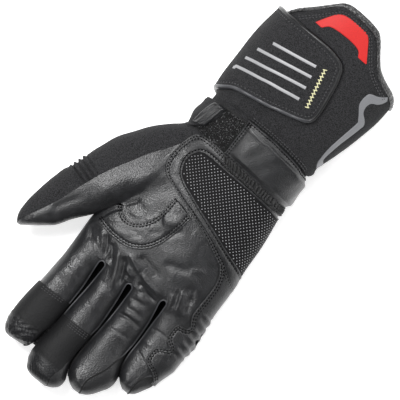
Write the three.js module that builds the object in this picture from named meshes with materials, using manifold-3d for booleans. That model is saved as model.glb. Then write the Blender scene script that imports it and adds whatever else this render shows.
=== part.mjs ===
// A right-hand winter motorcycle glove with a gauntlet cuff, lying on its back with the palm up.
// Millimetres. +Y runs from the fingertips to the cuff, -X is the thumb side, +Z is up out of the palm.
// The origin is on the floor under the back of the hand.
import * as THREE from "three";
import { mergeVertices } from "three/addons/utils/BufferGeometryUtils.js";
import Module from "manifold-3d";

const wasm = await Module();
wasm.setup();

// Driving dimensions
const HAND_WALL = 2.2; // leather or shell cloth with its warm lining
const CUFF_WALL = 2.4;
const CUFF_PROUD = 0.7; // how far the cuff cloth laps proud of the wrist
const GAP = 0.3; // between neighbouring pieces
const PATCH_THICK = 1.1; // a leather patch sewn on top
const STRAP_THICK = 2.6; // the padded cuff strap
const PIPING_PROUD = 0.6;
const LINE_THICK = 0.4; // a printed reflective line or a thin patch
const BINDING_WIDTH = 4.2; // bound rim of the cuff
const PIPING_WIDTH = 3.0; // piped edge of the cuff strap
const HAND_TOP = 64; // where the hand ends and the cuff starts
const FINGER_ROOT = -78; // the crotch between the fingers
const FULLNESS = { body: 2.35, finger: 2.7, thumb: 2.3 }; // exponent of the oval sections: 2 is an ellipse
const SIDES = { body: 30, finger: 14, thumb: 18 }; // facets round the outside
const HOLLOW_SIDES = { body: 20, finger: 8, thumb: 12 }; // facets round the hollow inside
const FOURCHETTE_HALF = 5.5; // half the height of the strips between the fingers
const FLOOR_CLEAR = 0.2; // straps that run underneath stay this far off the floor
const HIGH = 130; // above everything
const LOW = -30; // below everything
const FAR = { left: -150, right: 120, tips: -200, rim: 200 }; // outside everything in plan
const PAST = 190; // where a hollow runs out past the rim
const SIDE_HEIGHT = 31; // the height where a strap's front outline gives way to its straight underside
const SIMPLE = 0.08; // faces closer than this to flat are merged

// The hand and cuff as oval sections: the edges on the thumb and little-finger side, and bottom and top.
const SECTION_COLUMNS = ["y", "left", "right", "bottom", "top"];
const BODY = [
  [FINGER_ROOT, -53.5, 59.5, 2, 31.5],
  [-72, -54, 60, -1, 35.5],
  [-60, -54.5, 58.5, -2, 38.5],
  [-40, -52, 58, -2, 41],
  [-20, -47, 56, -2, 43],
  [0, -40.5, 55, -2, 44.5],
  [20, -37.5, 52.5, -1, 47],
  [35, -38, 50, 1, 50],
  [50, -40, 48.8, 3.6, 53.5],
  [HAND_TOP, -38.2, 50.5, 4, 57],
  [72, -38.2, 52.2, 4.2, 60.5],
  [85, -39, 57, 4.4, 65],
  [100, -39.4, 61, 4.4, 69],
  [120, -39, 65.5, 4.4, 73],
  [140, -37, 67, 4.4, 76.5],
  [180, -34, 70, 4.4, 80],
];

// The fingers: edges across, height of the centre and half the thickness.
const FINGER_COLUMNS = ["y", "left", "right", "z", "halfHeight"];
const FINGERS = {
  index: [
    [-58, -53, -30, 18, 15.5],
    [-80, -54, -30.2, 17.5, 15],
    [-100, -54.2, -28.4, 17, 14],
    [-120, -55.5, -28.6, 17, 13.5],
    [-140, -57, -29.2, 18, 13],
    [-156, -55.6, -30, 19, 11],
    [-159.5, -53, -31.3, 19.2, 8.2],
    [-161, -50, -34, 19.3, 5],
  ],
  middle: [
    [-58, -25.5, -4, 18.5, 16],
    [-80, -24.5, -4.5, 18, 15.5],
    [-100, -25, -2.6, 17.5, 14.5],
    [-120, -26.2, -1.5, 17.5, 14],
    [-140, -27.2, -1.6, 18.5, 13.5],
    [-152, -28.2, -1.4, 19.5, 13],
    [-163, -28, 2.4, 20.5, 12.2],
    [-169, -26, 1.5, 21, 10.6],
    [-172.5, -23.5, -2.5, 21.3, 7.8],
    [-174, -20, -6, 21.4, 4.8],
  ],
  ring: [
    [-58, 1, 22.5, 18, 16],
    [-80, 1, 23, 17.5, 15],
    [-100, 2, 25.3, 17, 14],
    [-130, -0.1, 28, 17.6, 13.4],
    [-141, -0.4, 32.6, 18.4, 13],
    [-150, -0.3, 31.5, 19, 12.4],
    [-157, 1.5, 28, 19.5, 10.8],
    [-161.5, 5.5, 23.5, 19.8, 7.8],
    [-163.5, 10, 19, 20, 4.8],
  ],
  little: [
    [-55, 28.5, 57, 17, 15.5],
    [-80, 27.7, 60.5, 16.5, 14.5],
    [-97, 28.3, 60.5, 16, 13.5],
    [-118, 28.4, 58, 16.2, 12.8],
    [-130, 29.5, 53.6, 17, 11.8],
    [-137, 32.6, 50.5, 17.3, 10],
    [-140.5, 35.8, 48.3, 17.5, 7.4],
    [-142, 38, 45.5, 17.6, 4.6],
  ],
};
const FINGER_MIDDLES = { index: -42, middle: -13.5, ring: 14.5, little: 43.5 };

// The thumb, from its root in the palm: outer and inner edge in plan, the centre's height, half the thickness.
const THUMB_COLUMNS = ["outerX", "outerY", "innerX", "innerY", "z", "halfHeight"];
const THUMB = [
  [-37, 41, -10, 16, 22, 17],
  [-48, 31, -20, 6, 20, 19],
  [-65, 15, -28, -14, 20, 20],
  [-75, 0, -38, -30, 20.5, 20],
  [-82, -20, -46, -42, 21.5, 19],
  [-88, -36, -55, -55, 22.5, 17.5],
  [-93, -50, -59, -61, 23, 16.5],
  [-97, -70, -66, -71, 24, 14.6],
  [-98, -80, -73, -81, 24.5, 12.8],
  [-96.6, -88, -81, -88, 25, 10],
  [-94, -92.5, -88, -92.5, 25.4, 6],
];
const RIB_COUNT = 4; // accordion ribs over the thumb's knuckle
const RIB_FIRST = 3.72; // place of the first rib along the thumb table, in rows
const RIB_PITCH = 0.27; // rows from rib to rib
const RIB_DEEP = 2.6;

// The height in side view at which the leather of the palm meets the cloth of the back.
const SPLIT_COLUMNS = ["y", "z"];
const SPLIT = [
  [-190, 20],
  [-150, 18.5],
  [-120, 17],
  [FINGER_ROOT, 17.5],
  [-40, 19],
  [0, 21],
  [35, 26],
  [HAND_TOP, 30],
  [110, 32],
];

// Outlines in plan, x and y
const TEXTILE_BORDER = [
  [-31, 34],
  [-40, 17],
  [-50, 3],
  [-62, -18],
  [-72, -40],
  [-80, -62],
  [-90, -83],
  [-97, -99],
];
const THUMB_SEAM = [
  [-31, 34],
  [-33, 12],
  [-28, 0],
  [-15, -6],
  [-15, -20],
  [-16.5, -31],
  [-20, -40],
  [-25, -43.5],
  [-32, -44],
  [-38, -41],
  [-42, -39],
  [-50, -49],
  [-56, -58],
  [-60, -80],
  [-70, -108],
];
const THUMB_BACK_SEAM = [
  [-29, 37],
  [-33, 10],
  [-44, -20],
  [-53, -48],
  [-57, -60],
  [-62, -85],
  [-70, -108],
];
const SADDLE_OUTLINE = [
  [-47, -47],
  [-50, -56],
  [-40, -60],
  [-22, -59.5],
  [-10, -53],
  [-3, -46],
  [1, -37],
  [4, -22],
  [3, -13],
  [-7, -10],
  [-13.5, -8],
  [-13.5, -20],
  [-15, -31],
  [-18.6, -41],
  [-24.5, -45.4],
  [-33, -46],
  [-39, -43],
];
const HEEL_OUTLINE = [
  [-27, 37.6],
  [-33, 33],
  [-36, 22],
  [-36, 8],
  [-30, -1],
  [-10, -8],
  [20, -19],
  [40, -29],
  [45, -33],
  [70, -33],
  [70, 31],
  [30, 31.5],
  [-7, 32],
  [-8.5, 37.6],
];
const GRIP_OUTLINE = [
  [-19, 29.5],
  [-24, 26],
  [-26, 19],
  [-25, 9],
  [-20, 4],
  [-5, -2],
  [15, -9.5],
  [35, -17],
  [53, -22.5],
  [70, -22.5],
  [70, 24],
  [20, 27.5],
];
const GUARD_OUTLINE = [
  [40.3, -29.6],
  [45, -38],
  [46.5, -50],
  [46.5, -67],
  [51, -77],
  [42.5, -80.5],
  [41.5, -88],
  [49, -98],
  [40.5, -103],
  [40, -114],
  [50, -120],
  [56, -125],
  [74, -125],
  [74, -33.6],
  [45.3, -33.6],
];
const WRIST_PANEL = { left: -7.2, lower: 37.8 };
const LOOP_PATCH = { left: -30, right: -7.6, lower: 38.6, upper: 63.4 };
const WRIST_STRAP_OUTLINE = [
  [-70, 38.4],
  [-33, 38.6],
  [-30, 44.5],
  [-26.5, 51],
  [-24.4, 58],
  [-24, 63],
  [-70, 63],
];
const STRAP_PULL_OUTLINE = [
  [-36, 44.5],
  [-31.5, 44.5],
  [-28.5, 51],
  [-26.4, 58],
  [-26.2, 62.6],
  [-33, 62.6],
];
const RIM = [
  [-90, 139],
  [-38, 141],
  [-33, 145],
  [-28, 152],
  [-20, 160],
  [-10, 170],
  [-5, 175],
  [0, 176],
  [10, 176],
  [25, 174],
  [30, 170.5],
  [40, 158],
  [46, 151.5],
  [55, 147],
  [66, 142],
  [110, 130],
];
const CUFF_STRAP_OUTLINE = [
  [-70, 144.8],
  [-30, 144.5],
  [10, 143],
  [18, 141],
  [23.5, 137],
  [26.5, 128],
  [28.5, 113],
  [29.2, 100],
  [27.5, 93.5],
  [24, 90.5],
  [0, 84],
  [-30, 77.5],
  [-43, 71.8],
  [-70, 66],
];
// The straps underneath the glove: their edges in y, and the x where they end
const STRAP_UNDERSIDE = {
  wrist: { lower: 40, upper: 62, end: -5 },
  cuff: { lower: 76, upper: 140, end: -12 },
};
const LINES = [
  { from: [-27.5, 121], to: [7, 127] },
  { from: [-33.5, 111], to: [9, 119] },
  { from: [-37.3, 101], to: [10.5, 110.5] },
  { from: [-39.6, 90.6], bend: [-35, 93], to: [11.5, 101.5] },
];
const LINE_WIDTH = 2.4;
const RED_OUTLINE = [
  [-13, 151],
  [-7, 151],
  [-2, 156],
  [21, 156],
  [26, 150],
  [33.5, 149.5],
  [30, 155],
  [23, 167],
  [-2, 167.5],
];
const STRIPE_OUTLINE = [
  [50, 69.5],
  [50, 80],
  [52, 95],
  [54, 112.5],
  [50, 120],
  [48, 125],
  [48, 131],
  [50, 136],
  [58, 138.8],
  [61.5, 136],
  [53, 129],
  [53, 127],
  [59, 114],
  [57, 100],
  [54, 83],
  [53.4, 74],
];
const GATHER = { left: -7, lower: 32.3, upper: 37.5, pitch: 4, ridge: 2, deep: 0.8 };
const PLEATS = { first: -62, pitch: -6.4, count: 6, width: 2.6, from: 53, deep: 0.9 };

// Colours, as the real pieces have them
const FINISH = {
  leather: { color: 0x26272a, roughness: 0.45, metalness: 0 },
  textile: { color: 0x1b1c1f, roughness: 0.9, metalness: 0 },
  grip: { color: 0x202124, roughness: 0.6, metalness: 0 },
  loop: { color: 0x141416, roughness: 1, metalness: 0 },
  binding: { color: 0x1d1e20, roughness: 0.3, metalness: 0 },
  reflective: { color: 0xc4c6cb, roughness: 0.5, metalness: 0 },
  stripe: { color: 0x8e9096, roughness: 0.6, metalness: 0 },
  red: { color: 0xd8342f, roughness: 0.8, metalness: 0 },
};

// Tables

// Turns the rows of a table into objects with the named columns.
function named(rows, columns) {
  return rows.map((row) => Object.fromEntries(columns.map((name, i) => [name, row[i]])));
}

// Solids

// A closed geometry as a solid that can be cut and joined.
function toSolid(geometry) {
  const bare = geometry.clone();
  bare.deleteAttribute("normal");
  bare.deleteAttribute("uv");
  const merged = mergeVertices(bare, 1e-4);
  return new wasm.Manifold(
    new wasm.Mesh({
      numProp: 3,
      vertProperties: merged.attributes.position.array,
      triVerts: new Uint32Array(merged.index.array),
    }),
  );
}

// A closed skin over a run of rings of equal length, with a fan over each end.
function loft(rings) {
  const sides = rings[0].length;
  const points = rings.flat();
  const middle = (ring) => ring.reduce((sum, p) => sum.add(p), new THREE.Vector3()).divideScalar(sides);
  points.push(middle(rings[0]), middle(rings[rings.length - 1]));
  const triangles = [];
  for (let i = 0; i < sides; i += 1) {
    const j = (i + 1) % sides;
    triangles.push([points.length - 2, j, i]);
    for (let r = 0; r + 1 < rings.length; r += 1) {
      const a = r * sides;
      const b = a + sides;
      triangles.push([a + i, a + j, b + j], [a + i, b + j, b + i]);
    }
    const last = (rings.length - 1) * sides;
    triangles.push([points.length - 1, last + i, last + j]);
  }
  const volume = triangles.reduce(
    (sum, [a, b, c]) => sum + points[a].dot(new THREE.Vector3().crossVectors(points[b], points[c])),
    0,
  );
  const outward = volume < 0 ? triangles.map(([a, b, c]) => [a, c, b]) : triangles;
  const geometry = new THREE.BufferGeometry().setFromPoints(points);
  geometry.setIndex(outward.flat());
  return toSolid(geometry);
}

// An oval ring: a superellipse about a centre, with half axes along two directions.
function ovalRing(centre, across, up, kind, offset) {
  const sides = offset < 0 ? HOLLOW_SIDES[kind] : SIDES[kind];
  const bow = (v) => Math.sign(v) * Math.abs(v) ** (2 / FULLNESS[kind]);
  return Array.from({ length: sides }, (_, i) => {
    const angle = (2 * Math.PI * (i + 0.5)) / sides;
    return centre
      .clone()
      .addScaledVector(across, bow(Math.cos(angle)))
      .addScaledVector(up, bow(Math.sin(angle)));
  });
}

// A straight prism over an outline in plan.
function planPrism(outline, low = LOW, high = HIGH) {
  const shape = new THREE.Shape(outline.map(([x, y]) => new THREE.Vector2(x, y)));
  const geometry = new THREE.ExtrudeGeometry(shape, { depth: high - low, bevelEnabled: false });
  return toSolid(geometry.translate(0, 0, low));
}

// A prism over an outline in side view (y and z), running across from one x to another.
function sidePrism(outline, from = FAR.left, to = FAR.right) {
  const shape = new THREE.Shape(outline.map(([y, z]) => new THREE.Vector2(y, z)));
  const geometry = new THREE.ExtrudeGeometry(shape, { depth: to - from, bevelEnabled: false });
  // The shape's x becomes y, its y becomes z and its depth becomes x.
  const turn = new THREE.Matrix4().makeBasis(
    new THREE.Vector3(0, 1, 0),
    new THREE.Vector3(0, 0, 1),
    new THREE.Vector3(1, 0, 0),
  );
  return toSolid(geometry.applyMatrix4(turn).translate(from, 0, 0));
}

function boxPrism(x0, x1, y0, y1, z0 = LOW, z1 = HIGH) {
  return planPrism(
    [
      [x0, y0],
      [x1, y0],
      [x1, y1],
      [x0, y1],
    ],
    z0,
    z1,
  );
}

// The outline moved outwards (or inwards, when negative) along its normals. It runs anticlockwise.
function offsetOutline(outline, distance) {
  const points = outline.map(([x, y]) => new THREE.Vector2(x, y));
  const turn = THREE.ShapeUtils.isClockWise(points) ? -1 : 1;
  return points.map((p, i) => {
    const before = points[(i + points.length - 1) % points.length];
    const after = points[(i + 1) % points.length];
    const inward = p.clone().sub(before).normalize();
    const onward = after.clone().sub(p).normalize();
    const normal = new THREE.Vector2(inward.y + onward.y, -inward.x - onward.x).normalize();
    const mitre = Math.max(0.5, normal.x * inward.y - normal.y * inward.x);
    return [p.x + (turn * distance * normal.x) / mitre, p.y + (turn * distance * normal.y) / mitre];
  });
}

// A thin upright wall along a line in plan, for cutting a seam.
function seamCut(line, halfWidth = GAP) {
  const points = line.map(([x, y]) => new THREE.Vector2(x, y));
  const side = (sign) =>
    points.map((p, i) => {
      const before = points[Math.max(0, i - 1)];
      const after = points[Math.min(points.length - 1, i + 1)];
      const along = after.clone().sub(before).normalize();
      return [p.x + sign * halfWidth * along.y, p.y - sign * halfWidth * along.x];
    });
  return planPrism([...side(1), ...side(-1).reverse()]);
}

// Forms: each is the glove's outer surface moved out by an offset, or in when it is negative.

// The oval body between two places along it. A negative offset leaves the wall on the floor side too.
function bodyForm(offset, fromY, toY) {
  const rows = named(BODY, SECTION_COLUMNS);
  const section = (y) => {
    const i = Math.max(0, Math.min(rows.length - 2, rows.filter((row) => row.y <= y).length - 1));
    const f = THREE.MathUtils.clamp((y - rows[i].y) / (rows[i + 1].y - rows[i].y), 0, 1);
    const mix = (key) => THREE.MathUtils.lerp(rows[i][key], rows[i + 1][key], f);
    return { left: mix("left"), right: mix("right"), bottom: mix("bottom"), top: mix("top") };
  };
  const inside = rows.map((row) => row.y).filter((y) => y > fromY + 1 && y < toY - 1);
  return loft(
    [fromY, ...inside, toY].map((y) => {
      const s = section(y);
      return ovalRing(
        new THREE.Vector3((s.left + s.right) / 2, y, (s.bottom + s.top) / 2),
        new THREE.Vector3((s.right - s.left) / 2 + offset, 0, 0),
        new THREE.Vector3(0, 0, (s.top - s.bottom) / 2 + offset),
        "body",
        offset,
      );
    }),
  );
}

function fingerForm(finger, offset) {
  const rows = named(FINGERS[finger], FINGER_COLUMNS);
  const tip = rows.length - 1;
  return loft(
    rows.map((row, i) =>
      ovalRing(
        new THREE.Vector3((row.left + row.right) / 2, i === tip ? row.y - offset : row.y, row.z),
        new THREE.Vector3((row.right - row.left) / 2 + offset, 0, 0),
        new THREE.Vector3(0, 0, row.halfHeight + offset),
        "finger",
        offset,
      ),
    ),
  );
}

// The thumb, with accordion ribs standing out of its outer side where they are asked for.
function thumbForm(offset, ribbed) {
  const places = THUMB.map((_, i) => i);
  if (ribbed) {
    for (let k = 0; k < RIB_COUNT; k += 1) {
      places.push(RIB_FIRST + k * RIB_PITCH, RIB_FIRST + (k + 0.5) * RIB_PITCH);
    }
    places.push(RIB_FIRST + RIB_COUNT * RIB_PITCH);
  }
  const inRibs = (place) => place >= RIB_FIRST && place <= RIB_FIRST + RIB_COUNT * RIB_PITCH;
  const kept = places
    .filter((place) => !(ribbed && Number.isInteger(place) && inRibs(place)))
    .sort((a, b) => a - b);
  return loft(
    kept.map((place) => {
      const i = Math.min(Math.floor(place), THUMB.length - 2);
      const f = place - i;
      const mixed = THUMB[i].map((value, c) => THREE.MathUtils.lerp(value, THUMB[i + 1][c], f));
      const row = named([mixed], THUMB_COLUMNS)[0];
      const outer = new THREE.Vector3(row.outerX, row.outerY, row.z);
      const inner = new THREE.Vector3(row.innerX, row.innerY, row.z);
      const across = outer.clone().sub(inner).multiplyScalar(0.5);
      const centre = outer.clone().add(inner).multiplyScalar(0.5);
      if (place === THUMB.length - 1) {
        centre.y -= offset;
      }
      const step = (place - RIB_FIRST) / RIB_PITCH;
      const crest = ribbed && inRibs(place) ? RIB_DEEP * Math.abs(Math.sin(Math.PI * step)) : 0;
      const outward = across.clone().normalize();
      across.setLength(across.length() + offset);
      const up = new THREE.Vector3(0, 0, row.halfHeight + offset);
      return ovalRing(centre, across, up, "thumb", offset).map((point) => {
        const share = point.clone().sub(centre).dot(outward) / across.length();
        return point.addScaledVector(outward, crest * Math.max(0, share));
      });
    }),
  );
}

function handForm(offset, top = HAND_TOP, ribbed = false) {
  const parts = Object.keys(FINGERS).map((finger) => fingerForm(finger, offset));
  parts.push(thumbForm(offset, ribbed));
  parts.push(bodyForm(offset, FINGER_ROOT - offset, top));
  return wasm.Manifold.union(parts);
}

const cuffForm = (offset, from = HAND_TOP + GAP, to = 180) => bodyForm(offset + CUFF_PROUD, from, to);

// The split between front and back, moved up or down, as an outline in side view closed above or below.
function splitOutline(shift, closeAt) {
  const line = named(SPLIT, SPLIT_COLUMNS).map((row) => [row.y, row.z + shift]);
  return [...line, [line[line.length - 1][0], closeAt], [line[0][0], closeAt]];
}

const aboveSplit = (shift = 0) => sidePrism(splitOutline(shift, HIGH));
const belowSplit = (shift = 0) => sidePrism(splitOutline(shift, LOW));
const acrossAll = (y0, y1, z0 = LOW) => boxPrism(FAR.left, FAR.right, y0, y1, z0, HIGH);
const offFloor = (height) => acrossAll(FAR.tips, FAR.rim, height);

// The band between two neighbouring fingers where their fourchette runs.
function fourchetteBand(left, right, grow) {
  const root = FINGER_ROOT + HAND_WALL + 1 + grow;
  const line = named(SPLIT, SPLIT_COLUMNS).filter((row) => row.y < root);
  const half = FOURCHETTE_HALF + grow;
  const rootZ = line[line.length - 1].z;
  const upper = [...line.map((row) => [row.y, row.z + half]), [root, rootZ + half]];
  const lower = [...line.map((row) => [row.y, row.z - half]), [root, rootZ - half]];
  return sidePrism([...upper, ...lower.reverse()], FINGER_MIDDLES[left] - grow, FINGER_MIDDLES[right] + grow);
}

const FOURCHETTES = [
  ["index", "middle"],
  ["middle", "ring"],
  ["ring", "little"],
];

// A patch sewn on the hand: the layer between two offsets inside an outline in plan.
function handPatch(outline, low, high) {
  return patchLayer(low, high).intersect(planPrism(outline)).intersect(aboveSplit(GAP));
}

const layers = new Map();
function patchLayer(low, high) {
  const key = `${low} ${high}`;
  if (!layers.has(key)) {
    layers.set(key, handForm(high).subtract(handForm(low, HAND_TOP + 5)).intersect(offFloor(FLOOR_CLEAR)));
  }
  return layers.get(key);
}

// The cuff layer between two offsets.
function cuffLayer(low, high) {
  return cuffForm(high).subtract(cuffForm(low, HAND_TOP - 5, PAST)).intersect(offFloor(FLOOR_CLEAR));
}

// A strap's outline for the front, and for the back a straight band that ends under the glove.
function wrapRegion(outline, { lower, upper, end }) {
  const front = planPrism(outline, SIDE_HEIGHT, HIGH);
  const back = boxPrism(FAR.left, end, lower, upper, LOW, SIDE_HEIGHT);
  return front.add(back);
}

// The line of a stripe as an outline of even width.
function stripeOutline({ from, bend, to }, width) {
  const points = [from, ...(bend ? [bend] : []), to].map(([x, y]) => new THREE.Vector2(x, y));
  const side = (sign) =>
    points.map((p, i) => {
      const along = points[Math.min(points.length - 1, i + 1)].clone().sub(points[Math.max(0, i - 1)]);
      along.normalize();
      return [p.x + (sign * width * along.y) / 2, p.y - (sign * width * along.x) / 2];
    });
  return [...side(1), ...side(-1).reverse()];
}

// Pieces

const glove = new THREE.Group();

// The largest body of a cut, as a named mesh. Slivers that a cut leaves beside it are dropped.
function addPiece(name, solid, finish) {
  const bodies = solid.decompose().sort((a, b) => b.volume() - a.volume());
  const { numProp, vertProperties, triVerts } = bodies[0].simplify(SIMPLE).getMesh();
  const geometry = new THREE.BufferGeometry();
  const positions = Float32Array.from({ length: (vertProperties.length / numProp) * 3 }, (_, i) => {
    return vertProperties[Math.floor(i / 3) * numProp + (i % 3)];
  });
  geometry.setAttribute("position", new THREE.BufferAttribute(positions, 3));
  geometry.setIndex(new THREE.BufferAttribute(triVerts, 1));
  geometry.computeVertexNormals();
  const mesh = new THREE.Mesh(geometry, new THREE.MeshStandardMaterial(finish));
  mesh.name = name;
  glove.add(mesh);
}

// Hand shell, open at the wrist
const handHollow = handForm(-HAND_WALL, HAND_TOP + 10).intersect(offFloor(HAND_WALL));
const handShell = handForm(0, HAND_TOP, true).intersect(offFloor(0)).subtract(handHollow);

const farCorners = { high: [-130, -108], low: [-130, 37] };
const textileFront = planPrism([...TEXTILE_BORDER, farCorners.high, farCorners.low, [-31, 37]]);
const thumbBack = planPrism([...THUMB_BACK_SEAM, farCorners.high, farCorners.low]);
const thumbFront = planPrism([...THUMB_SEAM, [-97, -108], ...[...TEXTILE_BORDER].reverse()]);
const thumbClothRegion = textileFront.add(thumbBack.intersect(belowSplit()));
const thumbSeams = seamCut(THUMB_SEAM).add(seamCut(TEXTILE_BORDER));
const fourchetteCuts = wasm.Manifold.union(FOURCHETTES.map(([a, b]) => fourchetteBand(a, b, GAP)));
const palmEnd = acrossAll(FAR.tips, GATHER.lower - GAP);
const wristFront = boxPrism(WRIST_PANEL.left, FAR.right, GATHER.lower, HAND_TOP);

const frontShell = handShell.intersect(aboveSplit(GAP)).subtract(fourchetteCuts).subtract(thumbSeams);
addPiece(
  "palm_leather",
  frontShell.subtract(thumbFront).subtract(textileFront).intersect(palmEnd),
  FINISH.leather,
);
addPiece("thumb_leather", frontShell.intersect(thumbFront), FINISH.leather);
addPiece("thumb_textile", handShell.intersect(thumbClothRegion), FINISH.textile);

// The back cloth also runs round the thumb side of the wrist to the edge of the wrist panel.
const wristThumbSide = boxPrism(FAR.left, WRIST_PANEL.left - GAP, GATHER.lower, HAND_TOP);
const backRegion = belowSplit(-GAP).add(wristThumbSide.intersect(aboveSplit(-GAP)));
const thumbBackGrown = planPrism(
  offsetOutline([...THUMB_BACK_SEAM, farCorners.high, farCorners.low], GAP),
);
addPiece(
  "back_textile",
  handShell
    .intersect(backRegion)
    .subtract(thumbBackGrown)
    .subtract(planPrism(offsetOutline([...TEXTILE_BORDER, farCorners.high, farCorners.low, [-31, 37]], GAP)))
    .subtract(fourchetteCuts),
  FINISH.textile,
);

FOURCHETTES.forEach(([left, right]) => {
  const band = fourchetteBand(left, right, 0);
  addPiece(`fourchette_${left}_${right}`, handShell.intersect(band), FINISH.leather);
});

// Wrist: a gathered elastic band with ridges across it, and the leather panel above it
const wristShell = handShell.intersect(wristFront).intersect(aboveSplit(GAP));
const gatherBand = wristShell.intersect(acrossAll(GATHER.lower, GATHER.upper));
const gatherRidges = [];
for (let x = GATHER.left + 1; x < 50; x += GATHER.pitch) {
  gatherRidges.push(boxPrism(x, x + GATHER.ridge, GATHER.lower + GAP, GATHER.upper - GAP));
}
const ridgeLayer = handForm(GATHER.deep)
  .subtract(handForm(-HAND_WALL / 2, HAND_TOP + 5))
  .intersect(wasm.Manifold.union(gatherRidges))
  .intersect(aboveSplit(GAP));
addPiece("wrist_gather", gatherBand.add(ridgeLayer), FINISH.textile);
addPiece(
  "wrist_leather",
  wristShell.intersect(acrossAll(WRIST_PANEL.lower, HAND_TOP)),
  FINISH.leather,
);

// Patches on the hand
const patchTop = GAP + PATCH_THICK;
addPiece(
  "heel_frame",
  handPatch(HEEL_OUTLINE, GAP, patchTop).subtract(planPrism(offsetOutline(GRIP_OUTLINE, GAP))),
  FINISH.leather,
);
addPiece("heel_grip", handPatch(GRIP_OUTLINE, GAP, patchTop - 0.3), FINISH.grip);
addPiece("thumb_saddle", handPatch(SADDLE_OUTLINE, GAP, patchTop), FINISH.leather);
const guardLow = 8; // the guard wraps round the edge of the hand to this height
const guardRegion = planPrism(GUARD_OUTLINE, guardLow, HIGH).intersect(
  aboveSplit(GAP).add(boxPrism(50, FAR.right, FAR.tips, 40, guardLow, HIGH)),
);
const pleats = Array.from({ length: PLEATS.count }, (_, k) => {
  const y = PLEATS.first + k * PLEATS.pitch;
  return boxPrism(PLEATS.from, 90, y, y + PLEATS.width, guardLow + 2, HIGH);
});
const pleatLayer = patchLayer(patchTop - GAP, patchTop + PLEATS.deep).intersect(wasm.Manifold.union(pleats));
addPiece("side_guard", patchLayer(GAP, patchTop).intersect(guardRegion).add(pleatLayer), FINISH.leather);
const indexTip = boxPrism(-70, -28.2, -175, -116.5);
const middleTip = boxPrism(-27.6, -1.6, -190, -124.5);
addPiece(
  "index_tip",
  fingerForm("index", patchTop).subtract(fingerForm("index", GAP)).intersect(indexTip).intersect(
    aboveSplit(FOURCHETTE_HALF + 1),
  ),
  FINISH.leather,
);
addPiece(
  "middle_tip",
  fingerForm("middle", patchTop).subtract(fingerForm("middle", GAP)).intersect(middleTip).intersect(
    aboveSplit(FOURCHETTE_HALF + 1),
  ),
  FINISH.leather,
);

// Wrist closure: the loop patch, the strap over it and its pull tab
addPiece(
  "loop_patch",
  patchLayer(GAP, patchTop)
    .intersect(boxPrism(LOOP_PATCH.left, LOOP_PATCH.right, LOOP_PATCH.lower, LOOP_PATCH.upper))
    .intersect(aboveSplit(4)),
  FINISH.loop,
);
const strapLow = patchTop + GAP;
const strapHigh = strapLow + 1.4;
addPiece(
  "wrist_strap",
  patchLayer(strapLow, strapHigh).intersect(wrapRegion(WRIST_STRAP_OUTLINE, STRAP_UNDERSIDE.wrist)),
  FINISH.textile,
);
addPiece(
  "strap_pull",
  handPatch(STRAP_PULL_OUTLINE, strapHigh + GAP, strapHigh + GAP + 1.6),
  FINISH.binding,
);

// Cuff: an open tube cut to the rim line, with the rim bound
const RIM_FAR = [
  [RIM[RIM.length - 1][0], HAND_TOP - 4],
  [RIM[0][0], HAND_TOP - 4],
];
const rimRegion = planPrism([...RIM, ...RIM_FAR]);
const clothRegion = planPrism([...RIM.map((_, i) => offsetRim(i, BINDING_WIDTH)), ...RIM_FAR]);
const bindingInner = planPrism([...RIM.map((_, i) => offsetRim(i, BINDING_WIDTH - GAP)), ...RIM_FAR]);

// The point of the rim line moved towards the hand.
function offsetRim(index, distance) {
  const before = RIM[Math.max(0, index - 1)];
  const after = RIM[Math.min(RIM.length - 1, index + 1)];
  const along = new THREE.Vector2(after[0] - before[0], after[1] - before[1]).normalize();
  return [RIM[index][0] + distance * along.y, RIM[index][1] - distance * along.x];
}

const cuffHollow = cuffForm(-CUFF_WALL, HAND_TOP - 5, PAST);
const cuffShell = cuffForm(0).subtract(cuffHollow);
addPiece("cuff_textile", cuffShell.intersect(clothRegion), FINISH.textile);
const bindingCore = cuffForm(-CUFF_WALL - PIPING_PROUD, HAND_TOP - 5, PAST);
const bindingLayer = cuffForm(PIPING_PROUD).subtract(bindingCore);
addPiece("cuff_binding", bindingLayer.intersect(rimRegion).subtract(bindingInner), FINISH.binding);

// Cuff strap: round the thumb side from underneath, with a piped free edge
const pipingInset = CUFF_STRAP_OUTLINE.map((_, i) => insetStrap(i, PIPING_WIDTH));
const strapInset = CUFF_STRAP_OUTLINE.map((_, i) => insetStrap(i, PIPING_WIDTH + GAP));

// The point of the strap outline moved inwards; the two far corners on the thumb side stay outside.
function insetStrap(index, distance) {
  const last = CUFF_STRAP_OUTLINE.length - 1;
  const before = CUFF_STRAP_OUTLINE[Math.max(0, index - 1)];
  const after = CUFF_STRAP_OUTLINE[Math.min(last, index + 1)];
  const along = new THREE.Vector2(after[0] - before[0], after[1] - before[1]).normalize();
  const [x, y] = CUFF_STRAP_OUTLINE[index];
  return [x + distance * along.y, y - distance * along.x];
}

const cuffStrapLow = PIPING_PROUD + GAP;
const cuffStrapTop = cuffStrapLow + STRAP_THICK;
addPiece(
  "cuff_strap",
  cuffLayer(cuffStrapLow, cuffStrapTop).intersect(wrapRegion(strapInset, STRAP_UNDERSIDE.cuff)),
  FINISH.textile,
);
addPiece(
  "cuff_strap_binding",
  cuffLayer(cuffStrapLow, cuffStrapTop + PIPING_PROUD)
    .intersect(planPrism(CUFF_STRAP_OUTLINE, SIDE_HEIGHT, HIGH))
    .subtract(planPrism(pipingInset)),
  FINISH.binding,
);
LINES.forEach((line, i) => {
  addPiece(
    `reflective_line_${i + 1}`,
    cuffLayer(cuffStrapTop + GAP / 2, cuffStrapTop + GAP / 2 + LINE_THICK)
      .intersect(planPrism(stripeOutline(line, LINE_WIDTH), 40, HIGH)),
    FINISH.reflective,
  );
});
const thinPatch = (outline) =>
  cuffLayer(GAP, GAP + LINE_THICK).intersect(planPrism(outline, 36, HIGH));
addPiece("red_patch", thinPatch(RED_OUTLINE), FINISH.red);
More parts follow.
